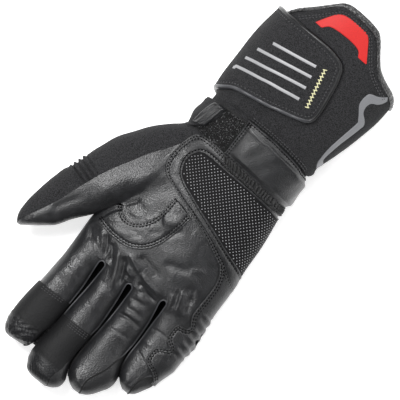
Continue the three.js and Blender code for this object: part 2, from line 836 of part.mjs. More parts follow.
addPiece("side_stripe", thinPatch(STRIPE_OUTLINE), FINISH.stripe);

export default glove;
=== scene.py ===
"""The looks of a winter motorcycle glove that lies on its back, palm up, with its fingers towards -Y and its cuff towards +Y.
Lengths in the tables are millimetres in the row's frame. Meshes are made in metres."""

import math

import bpy
import numpy as np
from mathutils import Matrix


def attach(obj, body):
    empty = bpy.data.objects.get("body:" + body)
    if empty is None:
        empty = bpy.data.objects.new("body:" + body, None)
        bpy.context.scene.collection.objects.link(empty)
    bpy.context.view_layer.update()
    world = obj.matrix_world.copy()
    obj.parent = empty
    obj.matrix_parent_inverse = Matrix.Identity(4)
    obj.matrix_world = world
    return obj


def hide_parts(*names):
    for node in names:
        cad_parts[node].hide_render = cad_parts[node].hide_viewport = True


bl_info = {
    "name": "Winter motorcycle glove",
    "version": (1, 0, 0),
    "blender": (4, 2, 0),
    "location": "3D View > Sidebar > Glove",
    "description": "Builds the leather, cloth, straps and stitching of a winter motorcycle glove",
    "category": "Add Mesh",
}

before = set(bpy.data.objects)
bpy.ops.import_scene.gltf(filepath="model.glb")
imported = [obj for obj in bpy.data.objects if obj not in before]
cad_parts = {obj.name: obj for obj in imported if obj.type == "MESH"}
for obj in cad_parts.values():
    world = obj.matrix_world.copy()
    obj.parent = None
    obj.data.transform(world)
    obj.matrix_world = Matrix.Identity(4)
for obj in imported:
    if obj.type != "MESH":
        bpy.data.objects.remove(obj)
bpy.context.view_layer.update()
MM = 0.001
BODY_POWER = 2.35
FINGER_POWER = 2.3
THUMB_POWER = 2.3
CROTCH_Y = -37.0
HAND_END = 39.0
# Down to here the hand's rows run across all the fingers.
COMMON_END = -79.5
FINGER_BLEND = (-62.0, -102.0)
WRAP_START = 9.0

# The hand and cuff: y, left, right, underside, top.
BODY = [
    (-104, -53.6, 59.6, 4, 28), (-90, -53.6, 59.6, 3, 31), (-80, -53.6, 59.6, 1.6, 33.6),
    (-72, -54, 60, -1, 36),
    (-60, -54.5, 58.5, -2, 38.6), (-40, -52, 58, -2, 41),
    (-20, -47, 56, -2, 43), (0, -40.5, 55, -2, 44.5), (20, -37.5, 52.5, -1, 47),
    (35, -38, 50, 1, 50),
    (50, -40, 48.8, 3.6, 53.5), (64, -38.2, 50.5, 4, 57), (72, -38.2, 52.2, 4.2, 60.5),
    (85, -39, 57, 4.4, 65),
    (100, -39.4, 61, 4.4, 69), (120, -39, 65.5, 4.4, 73), (140, -37, 67, 4.4, 76.5),
    (180, -34, 70, 4.4, 80),
]
# The thumb on rows across the glove: y, left, right, height of its middle, half its thickness.
THUMB = [
    (46, -39.5, -26, 22, 6), (41, -41, -22, 22, 10.5), (37, -43.2, -20, 22, 14),
    (31, -50, -19, 21.5, 16.5),
    (21, -60, -18, 20.5, 18.5), (10, -68, -19, 20, 19.6), (0, -75, -20, 20, 20),
    (-12, -80, -25, 20.5, 20),
    (-20, -83, -30, 21, 19.6), (-29, -85, -35.5, 21.5, 19), (-37, -88, -40.6, 22, 18.4),
    (-42, -91, -45, 22.3, 17.8),
    (-49, -93, -50, 23, 16.9), (-55, -94.5, -54, 23.2, 16.2), (-60, -95.5, -58, 23.4, 15.6),
    (-69, -97, -65, 24, 14.4),
    (-75, -97.8, -68.6, 24.2, 13.6), (-79, -98, -71.6, 24.5, 13), (-83, -98, -76.5, 24.8, 12.2),
    (-87, -97.6, -81.5, 25, 11.4),
    (-91, -96.2, -87, 25.3, 10.6), (-94.2, -94, -91.4, 25.4, 10),
]
THUMB_TIP = (-84.0, -94.2)
# Where the thumb's cloth meets its leather: y, x.
CLOTH_EDGE = [
    (40, -27), (36, -28.5), (32, -31), (25, -35), (17, -40), (10, -45), (3, -50), (-6, -55),
    (-18, -62), (-30, -68),
    (-40, -72), (-51, -76), (-62, -80), (-73, -85), (-83, -90), (-91, -93.6), (-94.2, -94),
]
# Where the thumb's leather meets the palm's: y, x.
PALM_EDGE = [(40, -21), (37, -22), (25, -28), (10, -36), (-10, -38), (-25, -39.4), (-37, -40.6)]
# Height of each finger's middle and half its thickness: y, z, half.
FINGER_DEPTHS = [
    [(-58, 18, 15.5), (-80, 17.5, 15), (-100, 17, 14), (-120, 17, 13.5), (-140, 18, 13),
     (-162, 19.3, 12)],
    [(-58, 18.5, 16), (-80, 18, 15.5), (-100, 17.5, 14.5), (-120, 17.5, 14), (-140, 18.5, 13.5),
     (-174, 21.4, 12.4)],
    [(-58, 18, 16), (-80, 17.5, 15), (-100, 17, 14), (-130, 17.6, 13.4), (-150, 19, 12.6),
     (-164, 20, 12)],
    [(-58, 17, 15.5), (-80, 16.5, 14.5), (-97, 16, 13.5), (-118, 16.2, 12.8), (-142, 17.6, 11)],
]
# Each finger's outline in plan where it isn't a slit: y, x.
INDEX_LEFT = [
    (-60, -54.5), (-75, -53.8), (-90, -53.5), (-100, -54.1), (-115, -55), (-130, -56.5),
    (-140, -57), (-148, -57),
    (-153, -56), (-156.5, -54.4), (-159, -52.6), (-160.6, -50.4), (-161.3, -48),
]
INDEX_RIGHT_TIP = [(-140, 0), (-150, -0.4), (-155, -0.8), (-158, -2.2), (-160, -4.4), (-161.3, -7)]
MIDDLE_LEFT_TIP = [
    (-150, 0), (-157, 0.2), (-163, 1), (-168, 3), (-171.5, 5.6), (-173.6, 8.4), (-174.4, 11),
]
MIDDLE_RIGHT_TIP = [
    (-140, 0), (-150, 0.4), (-158, 3), (-163, 4.6), (-167, 4.2), (-170.5, 2), (-173, -1.6),
    (-174.4, -5),
]
RING_LEFT_TIP = [
    (-140, 0), (-148, 0.2), (-153, 1), (-157, 2.4), (-160, 4.8), (-162.4, 8), (-163.8, 11.4),
]
RING_RIGHT = [
    (-118, 0), (-130, 1.4), (-138, 3.2), (-143, 3), (-148, 1.6), (-153, -1.6), (-158, -5),
    (-161.5, -8.6), (-163.8, -13),
]
LITTLE_LEFT_TIP = [(-118, 0), (-128, 0.3), (-133, 1), (-137, 2.4), (-140, 5), (-142.2, 8.4)]
LITTLE_RIGHT = [
    (-60, 58.6), (-72, 60), (-80, 61), (-88, 61.8), (-94, 61), (-100, 60.4), (-108, 60.4),
    (-117, 58), (-122, 56.6),
    (-128, 55.4), (-133, 52.8), (-137, 50.6), (-140, 48.4), (-142.2, 45),
]
# The slits between the fingers: y, x of the middle, half the width.
SLITS = [
    [(37, -10, 0), (-40, -20, 0), (-77.5, -27.4, 2.6), (-80, -27.3, 2.7), (-90, -27, 2.3),
     (-100, -26.7, 1.7), (-110, -27, 1.3),
     (-120, -27.4, 1.1), (-140, -28, 1.05), (-150, -29, 0.8), (-162, -29.4, 0.6)],
    [(37, 10, 0), (-40, 3, 0), (-78.5, -2, 2.6), (-81, -1.75, 2.7), (-90, -1, 2.3),
     (-100, -0.4, 1.9), (-110, -0.2, 1.5),
     (-120, -0.3, 1.1), (-126, -0.5, 0.8), (-140, -1, 0.6), (-150, -0.9, 0.5), (-175, 0, 0.5)],
    [(37, 30, 0), (-40, 27, 0), (-72.5, 25, 2.4), (-76, 25, 2.6), (-82, 25.7, 2.2),
     (-90, 26.4, 1.6), (-105, 27.2, 1.3),
     (-118, 27.3, 1), (-130, 28.6, 0.8), (-142, 30.6, 0.8), (-165, 31, 0.8)],
]
SLIT_TOPS = (-77.5, -78.5, -72.5)
TIPS = (-161.3, -174.4, -163.8, -142.2)
TIP_LENGTHS = (10.0, 11.0, 10.0, 9.0)
# Height over the floor of the dark sheets put deep in the slits as painted shade.
SLIT_SHADE_HEIGHT = 12.0
# Where each finger's left and right side comes clear of its neighbour, going to the tip. None is an
# open side.
FREE_BELOW = [(None, -154.0), (-157.0, -138.0), (-150.0, -124.0), (-130.0, None)]
# How far the leather panel's edge lies inside the finger's outline at its right: y, distance.
PANEL_INSET_RIGHT = [
    [(-138, 0), (-142, 1.4), (-146, 3.4), (-149, 4.3), (-152, 3.4), (-156, 1.6), (-161.3, 0)],
    [(-118, 0), (-126, 1), (-135, 1.2), (-145, 1.8), (-152, 3.4), (-158, 6.2), (-163, 9.6),
     (-167, 9.8), (-171, 6.2), (-174.4, 0)],
    [(-112, 0), (-120, 1), (-130, 5.6), (-138, 10.6), (-143, 13), (-148, 14.2), (-153, 12.6),
     (-158, 9), (-161.5, 4.6), (-163.8, 0)],
    [(-112, 0), (-118, 2.4), (-122, 6.6), (-128, 9), (-133, 7.6), (-137, 5.6), (-140, 3),
     (-142.2, 0)],
]
# The cuff's rim: x, y.
RIM = [
    (-48, 138), (-40, 141), (-36, 143), (-33, 146), (-30, 150.5), (-28, 152.6), (-20, 160),
    (-10, 170), (-6, 173.8), (-2, 175.6),
    (4, 176.2), (12, 175.8), (24, 174), (28, 172.6), (31, 169.8), (40, 158), (45, 152.6),
    (49, 150), (56, 146.8), (62, 144.4),
    (66, 141), (68, 137), (72, 132),
]
CUFF_FOOT = [
    (-50, 70), (-38, 69), (-20, 68), (-7, 67.4), (20, 66.4), (40, 63.6), (50, 61.2), (56, 60),
    (75, 60),
]


def along(table, place, column=1):
    """A table's column at a place: cubic pieces through the rows, whose slopes are held so that no
    piece overshoots."""
    rows = np.asarray(table, float)
    rows = rows[np.argsort(rows[:, 0])]
    knots, values = rows[:, 0], rows[:, column]
    steps = np.diff(knots)
    secants = np.diff(values) / steps
    slopes = np.gradient(values, knots) if len(knots) > 2 else np.full(len(knots), secants[0])
    before, after = np.r_[secants[0], secants], np.r_[secants, secants[-1]]
    limit = 3 * np.minimum(np.abs(before), np.abs(after))
    slopes = np.where(before * after <= 0, 0, np.clip(slopes, -limit, limit))
    place = np.asarray(place, float)
    piece = np.clip(np.searchsorted(knots, place) - 1, 0, len(knots) - 2)
    length = steps[piece]
    t = np.clip((place - knots[piece]) / length, 0, 1)
    return (
        (1 + 2 * t) * (1 - t) ** 2 * values[piece]
        + t * (1 - t) ** 2 * length * slopes[piece]
        + t * t * (3 - 2 * t) * values[piece + 1]
        + t * t * (t - 1) * length * slopes[piece + 1]
    )


def ease(start, end, value):
    """Goes from 0 at start to 1 at end by the cubic 3t^2 - 2t^3."""
    t = np.clip((value - start) / (end - start), 0, 1)
    return t * t * (3 - 2 * t)


def soft_max(a, b, width):
    """The larger of two heights, with the valley between them filled over about the width."""
    return (a + b + np.sqrt((a - b) ** 2 + width * width)) / 2


def crown(share, power):
    """Height share of a superellipse at a share of its half width."""
    return (1 - np.clip(np.abs(share), 0, 1) ** power) ** (1 / power)


def body_heights(x, y):
    """Top and underside of the hand's or cuff's superellipse at a point in plan. Outside it the top
    falls steeply."""
    left, right = along(BODY, y, 1), along(BODY, y, 2)
    low, high = along(BODY, y, 3), along(BODY, y, 4)
    middle, half = (left + right) / 2, (right - left) / 2
    rise = crown((x - middle) / half, BODY_POWER) * (high - low) / 2
    beyond = 4 * np.maximum(np.abs(x - middle) - half, 0)
    centre = (low + high) / 2
    return centre + rise - beyond, centre - rise + beyond


def thumb_limits(y):
    return along(THUMB, y, 1), along(THUMB, y, 2)


def thumb_heights(x, y):
    """Top and underside of the thumb at a point in plan: a superellipse across the row, closed by a
    quarter ellipse at the tip."""
    left, right = thumb_limits(y)
    middle, half = (left + right) / 2, (right - left) / 2
    share = np.clip((THUMB_TIP[0] - y) / (THUMB_TIP[0] - THUMB_TIP[1]), 0, 1)
    closing = (1 - share**2.4) ** 0.5
    rise = crown((x - middle) / half, THUMB_POWER) * along(THUMB, y, 4) * closing
    beyond = 4 * np.maximum(np.abs(x - middle) - half, 0)
    centre = along(THUMB, y, 3)
    return centre + rise - beyond, centre - rise + beyond


def slit_edges(number, y):
    """Left and right edge of a slit: its middle line and half width, rounded off as a quarter
    circle below its top."""
    depth = np.clip((SLIT_TOPS[number] - y) / 2.8, 0, 1)
    half = np.maximum(along(SLITS[number], y, 2), 0) * np.sqrt(depth * (2 - depth))
    half = np.where(y < SLIT_TOPS[number], half, 0)
    middle = along(SLITS[number], y, 1)
    return middle - half, middle + half


def finger_limits(number, y):
    """Left and right limit of a finger in plan: the hand's side or the slit, bent in round the
    tip."""
    if number == 0:
        left = np.where(y > -60, along(BODY, y, 1), along(INDEX_LEFT, y))
        right = slit_edges(0, y)[0] + np.where(y < -140, along(INDEX_RIGHT_TIP, y), 0)
    elif number == 1:
        left = slit_edges(0, y)[1] + np.where(y < -150, along(MIDDLE_LEFT_TIP, y), 0)
        right = slit_edges(1, y)[0] + np.where(y < -140, along(MIDDLE_RIGHT_TIP, y), 0)
    elif number == 2:
        left = slit_edges(1, y)[1] + np.where(y < -140, along(RING_LEFT_TIP, y), 0)
        right = slit_edges(2, y)[0] + np.where(y < -118, along(RING_RIGHT, y), 0)
    else:
        left = slit_edges(2, y)[1] + np.where(y < -118, along(LITTLE_LEFT_TIP, y), 0)
        right = np.where(y > -60, along(BODY, y, 2), along(LITTLE_RIGHT, y))
    return left, right


def edge_hold(number, y):
    """How far round its section a finger's panel runs at its left and right edge: all the way on an
    open side, short of it along a slit, so the edge stands high."""
    holds = []
    for side in (0, 1):
        free = FREE_BELOW[number][side]
        if free is None:
            holds.append(np.ones(np.shape(y)))
            continue
        slit = 0.72 + 0.22 * ease(-70, -92, y)
        holds.append(slit + (1 - slit) * ease(free + 8, free - 6, y))
    return holds


def finger_heights(number, x, y):
    """Top and underside of a finger: a superellipse between its limits, closed at the tip. Height
    and thickness pass linearly from each finger to the next."""
    limits = [finger_limits(n, y) for n in range(4)]
    middles = [(a + b) / 2 for a, b in limits]
    centre, half_height = (along(FINGER_DEPTHS[0], y, c) for c in (1, 2))
    for n in range(3):
        share = np.clip((x - middles[n]) / np.maximum(middles[n + 1] - middles[n], 1), 0, 1)
        if number <= n:
            share = share * ease(TIPS[n + 1], TIPS[n + 1] + 30, y)
        for c in (1, 2):
            step = (along(FINGER_DEPTHS[n + 1], y, c) - along(FINGER_DEPTHS[n], y, c)) * share
            if c == 1:
                centre = centre + step
            else:
                half_height = half_height + step
    left, right = limits[number]
    closing_start = TIPS[number] + TIP_LENGTHS[number]
    share = np.clip((closing_start - y) / TIP_LENGTHS[number], 0, 1)
    closing = np.sqrt(np.maximum(1 - share**2.6, 0))
    share = (x - (left + right) / 2) / np.maximum((right - left) / 2, 0.5)
    held_left, held_right = edge_hold(number, y)
    share = np.where(share < 0, share * held_left, share * held_right)
    rise = crown(share, FINGER_POWER) * half_height * closing
    return centre + rise, centre - rise


def hand_heights(number, x, y, with_thumb):
    """Top and underside of the hand in one finger's column group: the palm, with the thumb's root
    merged in above the crotch, passing into the finger."""
    top, low = body_heights(x, y)
    if with_thumb:
        thumb_top, thumb_low = thumb_heights(x, y)
        width = 1.5 + 4.5 * ease(CROTCH_Y, -8, y)
        top = soft_max(top, thumb_top, width)
        low = -soft_max(-low, -thumb_low, width)
    share = ease(*FINGER_BLEND, y)
    finger_top, finger_low = finger_heights(number, x, y)
    return top * (1 - share) + finger_top * share, low * (1 - share) + finger_low * share


def on_floor(height):
    """Presses a height that dips under the floor flat onto it, with a soft start."""
    return (height + np.sqrt(height * height + 1.2)) / 2


def rows_between(start, end, pitch, dense=(), dense_pitch=0.25, reach=3.0):
    """Places from start down to end about a pitch apart, closer just below each dense place, and
    closing in on the end."""
    places = [start]
    while places[-1] > end + 1e-9:
        y = places[-1]
        near = [d for d in dense if d - reach < y <= d + 1e-9]
        step = dense_pitch if near else pitch
        ahead = [d for d in dense if d < y - 1e-9 and y - step < d]
        places.append(max(ahead) if ahead else max(y - step, end))
    return np.array(places)


def tip_rows(start, end, pitch, closing):
    """Rows from start to a tip: even ones first, then ones that close in as a sine over the closing
    length."""
    even = np.arange(start, end + closing, -pitch)
    count = int(closing / pitch * 1.7)
    turn = np.sin(np.linspace(0, np.pi / 2, count + 1))
    last = even[-1]
    return np.r_[even, last + (end - last) * turn[1:]]


def side_spaced(count):
    """Shares from 0 to 1 that crowd towards both ends as a cosine does."""
    return (1 - np.cos(np.linspace(0, np.pi, count))) / 2


def distance_to_path(x, y, path):
    """Distance in plan from each point to a polyline, and the share along it of the nearest
    place."""
    path = np.asarray(path, float)
    best = np.full(np.shape(x), 1e9)
    place = np.zeros(np.shape(x))
    lengths = np.hypot(*np.diff(path, axis=0).T)
    total = lengths.sum()
    passed = np.r_[0, np.cumsum(lengths)]
    for n, (a, b) in enumerate(zip(path[:-1], path[1:])):
        run = b - a
        t = np.clip(((x - a[0]) * run[0] + (y - a[1]) * run[1]) / max(run @ run, 1e-9), 0, 1)
        d = np.hypot(x - a[0] - t * run[0], y - a[1] - t * run[1])
        nearer = d < best
        best = np.where(nearer, d, best)
        place = np.where(nearer, (passed[n] + t * lengths[n]) / total, place)
    return best, place


def smooth_path(points, pitch=1.0):
    """A Catmull-Rom curve through the points, resampled evenly."""
    p = np.asarray(points, float)
    p = np.vstack([2 * p[0] - p[1], p, 2 * p[-1] - p[-2]])
    t = np.linspace(0, 1, 12, endpoint=False)[:, None]
    pieces = []
    for a, b, c, d in zip(p[:-3], p[1:-2], p[2:-1], p[3:]):
        pieces.append(0.5 * (2 * b + (c - a) * t + (2 * a - 5 * b + 4 * c - d) * t**2 + (3 * b - a - 3 * c + d) * t**3))
    return resample(np.vstack(pieces + [p[-2:-1]]), pitch)


def resample(path, pitch):
    """The polyline's points again, evenly spaced about a pitch apart."""
    steps = np.r_[0, np.cumsum(np.linalg.norm(np.diff(path, axis=0), axis=1))]
    count = max(int(round(steps[-1] / pitch)), 2)
    at = np.linspace(0, steps[-1], count + 1)
    return np.stack([np.interp(at, steps, path[:, n]) for n in range(path.shape[1])], axis=1)


# ---- relief ----
# Folds of the leather: x and y of the two ends, sideways bend of the middle, half width, height (a
# groove is negative).
FOLDS = [
    # between the crotch and the first slit
    (-44, -59, -33, -73, 0.8, 1.8, 0.9), (-38, -60, -29, -75, 0.6, 1.6, -1.38),
    (-32, -63, -22, -77, 1.0, 2.4, -1.5),
    (-44, -66, -37, -72, 0.5, 1.1, 0.5), (-42, -70, -35, -76, -0.5, 1.0, 0.4),
    (-52, -62, -44, -72, 1.0, 3.0, -0.88),
    # the folds that run into the slits
    (-25, -64, -12, -90, 1.6, 2.6, 1.3), (-18, -65, -8, -87, 1.0, 1.7, -1.88),
    (-16, -61, 1, -68.4, -0.8, 2.0, 1.1),
    (-2, -67, 23, -71, -1.6, 2.0, 1.5), (-12, -71, -3, -74, -0.4, 1.4, 0.9),
    (1, -73.6, 21, -78, -0.8, 1.5, -1.12),
    (-10, -57, 14, -62, -1.0, 3.6, -1.25), (4, -75, 12, -80, 0.3, 1.6, 0.8),
    # creases across the ring finger
    (5, -79, 21, -78.4, 1.2, 1.4, -0.56), (6, -83.4, 17, -82, 1.2, 2.0, 0.6),
    (3, -87, 19, -86, 1.2, 1.3, -0.62),
    (5, -90.8, 18, -90, 1.2, 2.0, 0.7), (6, -94, 21, -93.2, 1.2, 1.2, -0.56),
    (5, -97.4, 20, -97, 1.2, 1.8, 0.8),
    (2, -101, 23, -99.6, 1.6, 1.3, -1.5), (3, -114, 22, -111, 1.2, 1.2, -0.75),
    # the little finger's root
    (31, -58, 38, -77, -1.0, 2.8, 1.5), (26, -64, 31, -80, 0.6, 2.2, 0.8),
    (38, -58, 44, -73, -0.8, 1.9, -1.25), (28, -60, 33, -74, 0.4, 1.3, -1),
    (29, -95, 45, -94, 1.4, 1.2, -0.88), (30, -113, 42, -119, 1.0, 1.1, -0.75),
    (29, -104, 38, -106, 0.8, 1.6, 0.4),
    # index and middle fingers
    (-42, -70, -40, -106, 0.0, 7.0, 1), (-48, -88, -36, -90, 1.0, 1.6, -0.38),
    (-46, -98, -33, -99, 1.2, 1.6, -0.35), (-48, -107, -34, -109, 1.2, 1.6, -0.31),
    (-16, -92, -14, -114, 0.0, 6.0, 0.8), (-22, -90, -10, -92, 1.0, 1.6, -0.38),
    (-20, -109, -8, -110, 1.0, 1.6, -0.31),
    (6, -106, 8, -140, 0.0, 6.5, 0.6), (2, -150, 14, -158, 0.0, 3.0, 0.8),
    (34, -130, 41, -136, 0.0, 2.6, 0.7), (34, -84, 33, -112, 0.0, 6.0, 0.5),
    # pads and hollows of the palm
    (2, -50, 26, -36, 1.5, 7.0, 1.1), (14, -57, 38, -48, 1.0, 5.0, 1),
    (6, -53, 28, -46, 1.0, 2.6, -0.88), (10, -22, 22, -24, 0.5, 5.0, 0.35),
    (-42, -24, -30, 6, 0.0, 6.0, 1.0),
    (-4, -38, 6, -24, 0.6, 2.4, -1), (34, -52, 42, -66, 0.6, 2.4, -1),
    (26, -46, 36, -38, 0.6, 2.6, 0.6), (-30, -62, 2, -62, -1.5, 2.0, 0.4),
    # the thumb and its root
    (-64, -46, -30, 8, 0.0, 8.0, 2.4), (-41, -37, -33, -26, 0.5, 1.5, -1),
    (-35, -37.5, -25, -35, -0.8, 1.3, 0.4),
    (-22, -36, -16, -26, -0.6, 1.5, 0.4), (-30, -30, -20, -10, 1.0, 5.0, 0.5),
    (-80, -72, -66, -48, 1.0, 2.6, -0.75), (-88, -86, -78, -68, 0.6, 3.0, 0.7),
    (-38, -20, -30, 10, 0.8, 3.0, -0.75), (-26, 2, -30, 22, 0.6, 3.5, 0.6),
    # the saddle's own folds
    (-12, -29, 2, -21, 0.6, 3.6, 1.5), (-38, -56, -22, -52, 0.8, 2.2, 0.6),
    (-32, -50, -14, -46, 1.0, 1.8, -0.4), (-24, -55, -10, -49, 1.0, 1.5, 0.5),
    (-44, -52, -36, -48, 0.5, 1.6, 0.4), (-14, -42, -6, -34, 0.6, 2.2, -0.5),
]


def relief(x, y):
    """Height of folds and grooves over the plain leather: each fold is a Gaussian ridge or groove
    about a bowed line, fading at its ends."""
    total = np.zeros(np.shape(x))
    for x0, y0, x1, y1, bend, width, height in FOLDS:
        run = np.array([x1 - x0, y1 - y0])
        across = np.array([-run[1], run[0]]) / np.linalg.norm(run)
        t = np.linspace(0, 1, 9)[:, None]
        path = np.array([x0, y0]) + run * t + across * bend * 4 * t * (1 - t)
        near = (
            (x > path[:, 0].min() - 4 * width) & (x < path[:, 0].max() + 4 * width)
            & (y > path[:, 1].min() - 4 * width) & (y < path[:, 1].max() + 4 * width)
        )
        if not near.any():
            continue
        d, place = distance_to_path(x[near], y[near], path)
        fade = ease(-0.02, 0.2, place) * ease(1.02, 0.7, place)
        total[near] += height * fade * np.exp(-((d / width) ** 2))
    return total


# ---- meshes ----
def quads_of(rows, columns, first=0, closed=False):
    """Corner numbers of a grid's quads, row by row. A closed grid joins its last column to its
    first."""
    i = np.arange(rows - 1)[:, None]
    j = np.arange(columns if closed else columns - 1)[None, :]
    k = (j + 1) % columns
    return first + np.stack([i * columns + j, i * columns + k, (i + 1) * columns + k, (i + 1) * columns + j], axis=-1).reshape(-1, 4)


def add_piece(name, grids, material, nodes=(), weld=True):
    """Makes one object of several grids of points in millimetres. Each grid is (points, closed,
    flipped). Points in the same place are merged, and quads that lose a corner become triangles."""
    points, faces, first = [], [], 0
    for grid in grids:
        if grid[1] == "raw":
            p, f = grid[0]
            points.append(p)
            faces.append(f + first)
            first += len(p)
            continue
        p, closed, flipped = grid
        rows, columns = p.shape[:2]
        f = quads_of(rows, columns, first, closed)
        points.append(p.reshape(-1, 3))
        faces.append(f[:, ::-1] if flipped else f)
        first += rows * columns
    points, faces = np.vstack(points), np.vstack(faces)
    if weld:
        keys = np.round(points / 0.002).astype(np.int64)
        _, index, inverse = np.unique(keys, axis=0, return_index=True, return_inverse=True)
        points, faces = points[index], inverse.reshape(-1)[faces]
    same = faces == np.roll(faces, -1, axis=1)
    crossed = (faces[:, 0] == faces[:, 2]) | (faces[:, 1] == faces[:, 3])
    whole = faces[(same.sum(axis=1) == 0) & ~crossed]
    lost = (same.sum(axis=1) == 1) & ~crossed
    keep = ~same[lost]
    triangles = faces[lost][keep].reshape(-1, 3) if lost.any() else np.zeros((0, 3), int)
    loops = np.r_[whole.reshape(-1), triangles.reshape(-1)]
    totals = np.r_[np.full(len(whole), 4), np.full(len(triangles), 3)]
    mesh = bpy.data.meshes.new(name)
    mesh.vertices.add(len(points))
    mesh.vertices.foreach_set("co", (points * MM).astype(np.float32).ravel())
    mesh.loops.add(len(loops))
    mesh.loops.foreach_set("vertex_index", loops.astype(np.int32))
    mesh.polygons.add(len(totals))
    mesh.polygons.foreach_set("loop_start", np.r_[0, np.cumsum(totals)[:-1]].astype(np.int32))
    mesh.polygons.foreach_set("loop_total", totals.astype(np.int32))
    mesh.polygons.foreach_set("use_smooth", np.full(len(totals), True))
    mesh.update(calc_edges=True)
    mesh.validate()
    piece = bpy.data.objects.new(name, mesh)
    bpy.context.scene.collection.objects.link(piece)
    mesh.materials.append(material)
    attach(piece, "root")
    if nodes:
        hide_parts(*nodes)


def grid_normals(points):
    """Unit normals of a grid whose rows run towards the fingertips, from the cross product of its
    two directions."""
    n = np.cross(np.gradient(points, axis=0), np.gradient(points, axis=1))
    return n / np.maximum(np.linalg.norm(n, axis=-1, keepdims=True), 1e-9)


# ---- the hand ----
def hand_grids(pitch):
    """Front and back grids of the hand. Each finger and the thumb's leather is a group of columns.
    Groups share their edges above a slit's top and part below it."""
    common = rows_between(HAND_END, COMMON_END, pitch, dense=(CROTCH_Y, *SLIT_TOPS))
    count = int(28 / pitch * 1.25)
    front, back, outlines = [], [], []
    for number in range(4):
        own = tip_rows(COMMON_END - pitch, TIPS[number], pitch, TIP_LENGTHS[number])
        y = np.r_[common, own]
        left, right = finger_limits(number, y)
        share = side_spaced(count)[None, :]
        edge = left.copy()
        if number == 0:
            crease = np.where(y > CROTCH_Y, along(PALM_EDGE, y), thumb_limits(y)[1])
            tuck = 3 * ease(CROTCH_Y, CROTCH_Y - 4, y)
            edge = np.where(y > CROTCH_Y - 0.001, crease, np.maximum(crease - tuck, left + 0.05))
            edge = np.where(y < -58, left, edge)
        inset = along(PANEL_INSET_RIGHT[number], y)
        x = edge[:, None] + (right - inset - edge)[:, None] * share
        yy = np.broadcast_to(y[:, None], x.shape)
        top = np.where(yy > CROTCH_Y - 0.001, hand_heights(number, x, yy, True)[0], hand_heights(number, x, yy, False)[0])
        if number == 0:
            yy = slanted(x, yy)
        front.append(np.stack([x, yy, top], axis=-1))
        xb = edge[:, None] + (right - edge)[:, None] * share
        yb = np.broadcast_to(y[:, None], xb.shape)
        low = np.where(yb > CROTCH_Y - 0.001, hand_heights(number, xb, yb, True)[1], hand_heights(number, xb, yb, False)[1])
        if number == 0:
            yb = slanted(xb, yb)
        back.append(np.stack([xb, yb, on_floor(low)], axis=-1))
        outlines.append(y)
    return front, back, outlines


def slanted(x, y):
    """The index finger's end is cut at a slant: y rises with x near the tip."""
    return y + 0.11 * (x + 43) * ease(-146, -160, y) * np.where(x > -58, 1, 0)


def thumb_grids(pitch):
    """The thumb's leather front, cloth front and back on rows from the wrist to its tip."""
    common = rows_between(HAND_END, COMMON_END, pitch, dense=(CROTCH_Y, *SLIT_TOPS))
    common = common[common >= CROTCH_Y - 1e-6]
    own = rows_between(CROTCH_Y, THUMB_TIP[0], pitch, dense=(CROTCH_Y,))[1:]
    y = np.r_[common, own, tip_rows(THUMB_TIP[0] - pitch * 0.5, THUMB_TIP[1], pitch * 0.6, 9)]
    left, right = thumb_limits(y)
    border = np.clip(along(CLOTH_EDGE, y), left + 0.01, right - 0.01)
    crease = np.where(y > CROTCH_Y - 1e-6, along(PALM_EDGE, y), right)
    leather_x = border[:, None] + (crease - border)[:, None] * side_spaced(int(34 / pitch))[None, :]
    cloth_share = 1 - np.cos(np.linspace(0, np.pi / 2, int(22 / pitch)))
    cloth_x = left[:, None] + (border - left)[:, None] * cloth_share[None, :]
    back_x = left[:, None] + (crease - left)[:, None] * side_spaced(int(50 / pitch))[None, :]
    grids = []
    for x, side in ((leather_x, 0), (cloth_x, 0), (back_x, 1)):
        yy = np.broadcast_to(y[:, None], x.shape)
        merged = hand_heights(0, x, yy, True)[side]
        alone = thumb_heights(x, yy)[side]
        z = np.where(yy > CROTCH_Y - 1e-6, merged, alone)
        grids.append(np.stack([x, yy, on_floor(z) if side else z], axis=-1))
    return grids, y


def finger_side(number, side, pitch, steps=12):
    """One side wall of a finger: from the front panel's edge a quarter ellipse out to the limit,
    then down to the back's edge, drawn in a little."""
    slit = number if side else number - 1
    start = SLIT_TOPS[slit] if 0 <= slit <= 2 else -110.0
    even = rows_between(start, start - 5, pitch, dense=(start,))
    y = np.r_[even, tip_rows(even[-1] - pitch, TIPS[number], pitch, TIP_LENGTHS[number])]
    left, right = finger_limits(number, y)
    inset = along(PANEL_INSET_RIGHT[number], y) if side else np.zeros(len(y))
    limit = right if side else left
    panel = limit - inset
    top = hand_heights(number, panel, y, False)[0]
    edge = hand_heights(number, limit, y, False)
    low, middle = on_floor(edge[1]), (edge[0] + edge[1]) / 2
    quarter = np.linspace(0, np.pi / 2, steps)[None, :]
    x_out = panel[:, None] + inset[:, None] * np.sin(quarter)
    z_out = middle[:, None] + (top - middle)[:, None] * np.cos(quarter)
    t = np.linspace(0, 1, 8)[None, 1:]
    x_in = np.broadcast_to(limit[:, None], (len(y), 7))
    z_in = middle[:, None] * (1 - t) + low[:, None] * t
    x, z = np.hstack([x_out, x_in]), np.hstack([z_out, z_in])
    across = np.linspace(0, 1, x.shape[1])[None, :]
    drawn = 0.5 * np.sin(np.pi * across) * ease(start, start - 4, y)[:, None] * (1 - ease(0.3, 2.0, inset))[:, None]
    x = x - (1 if side else -1) * drawn
    yy = np.broadcast_to(y[:, None], x.shape)
    if number == 0:
        yy = slanted(x, yy)
    return np.stack([x, yy, z], axis=-1), y, panel, top


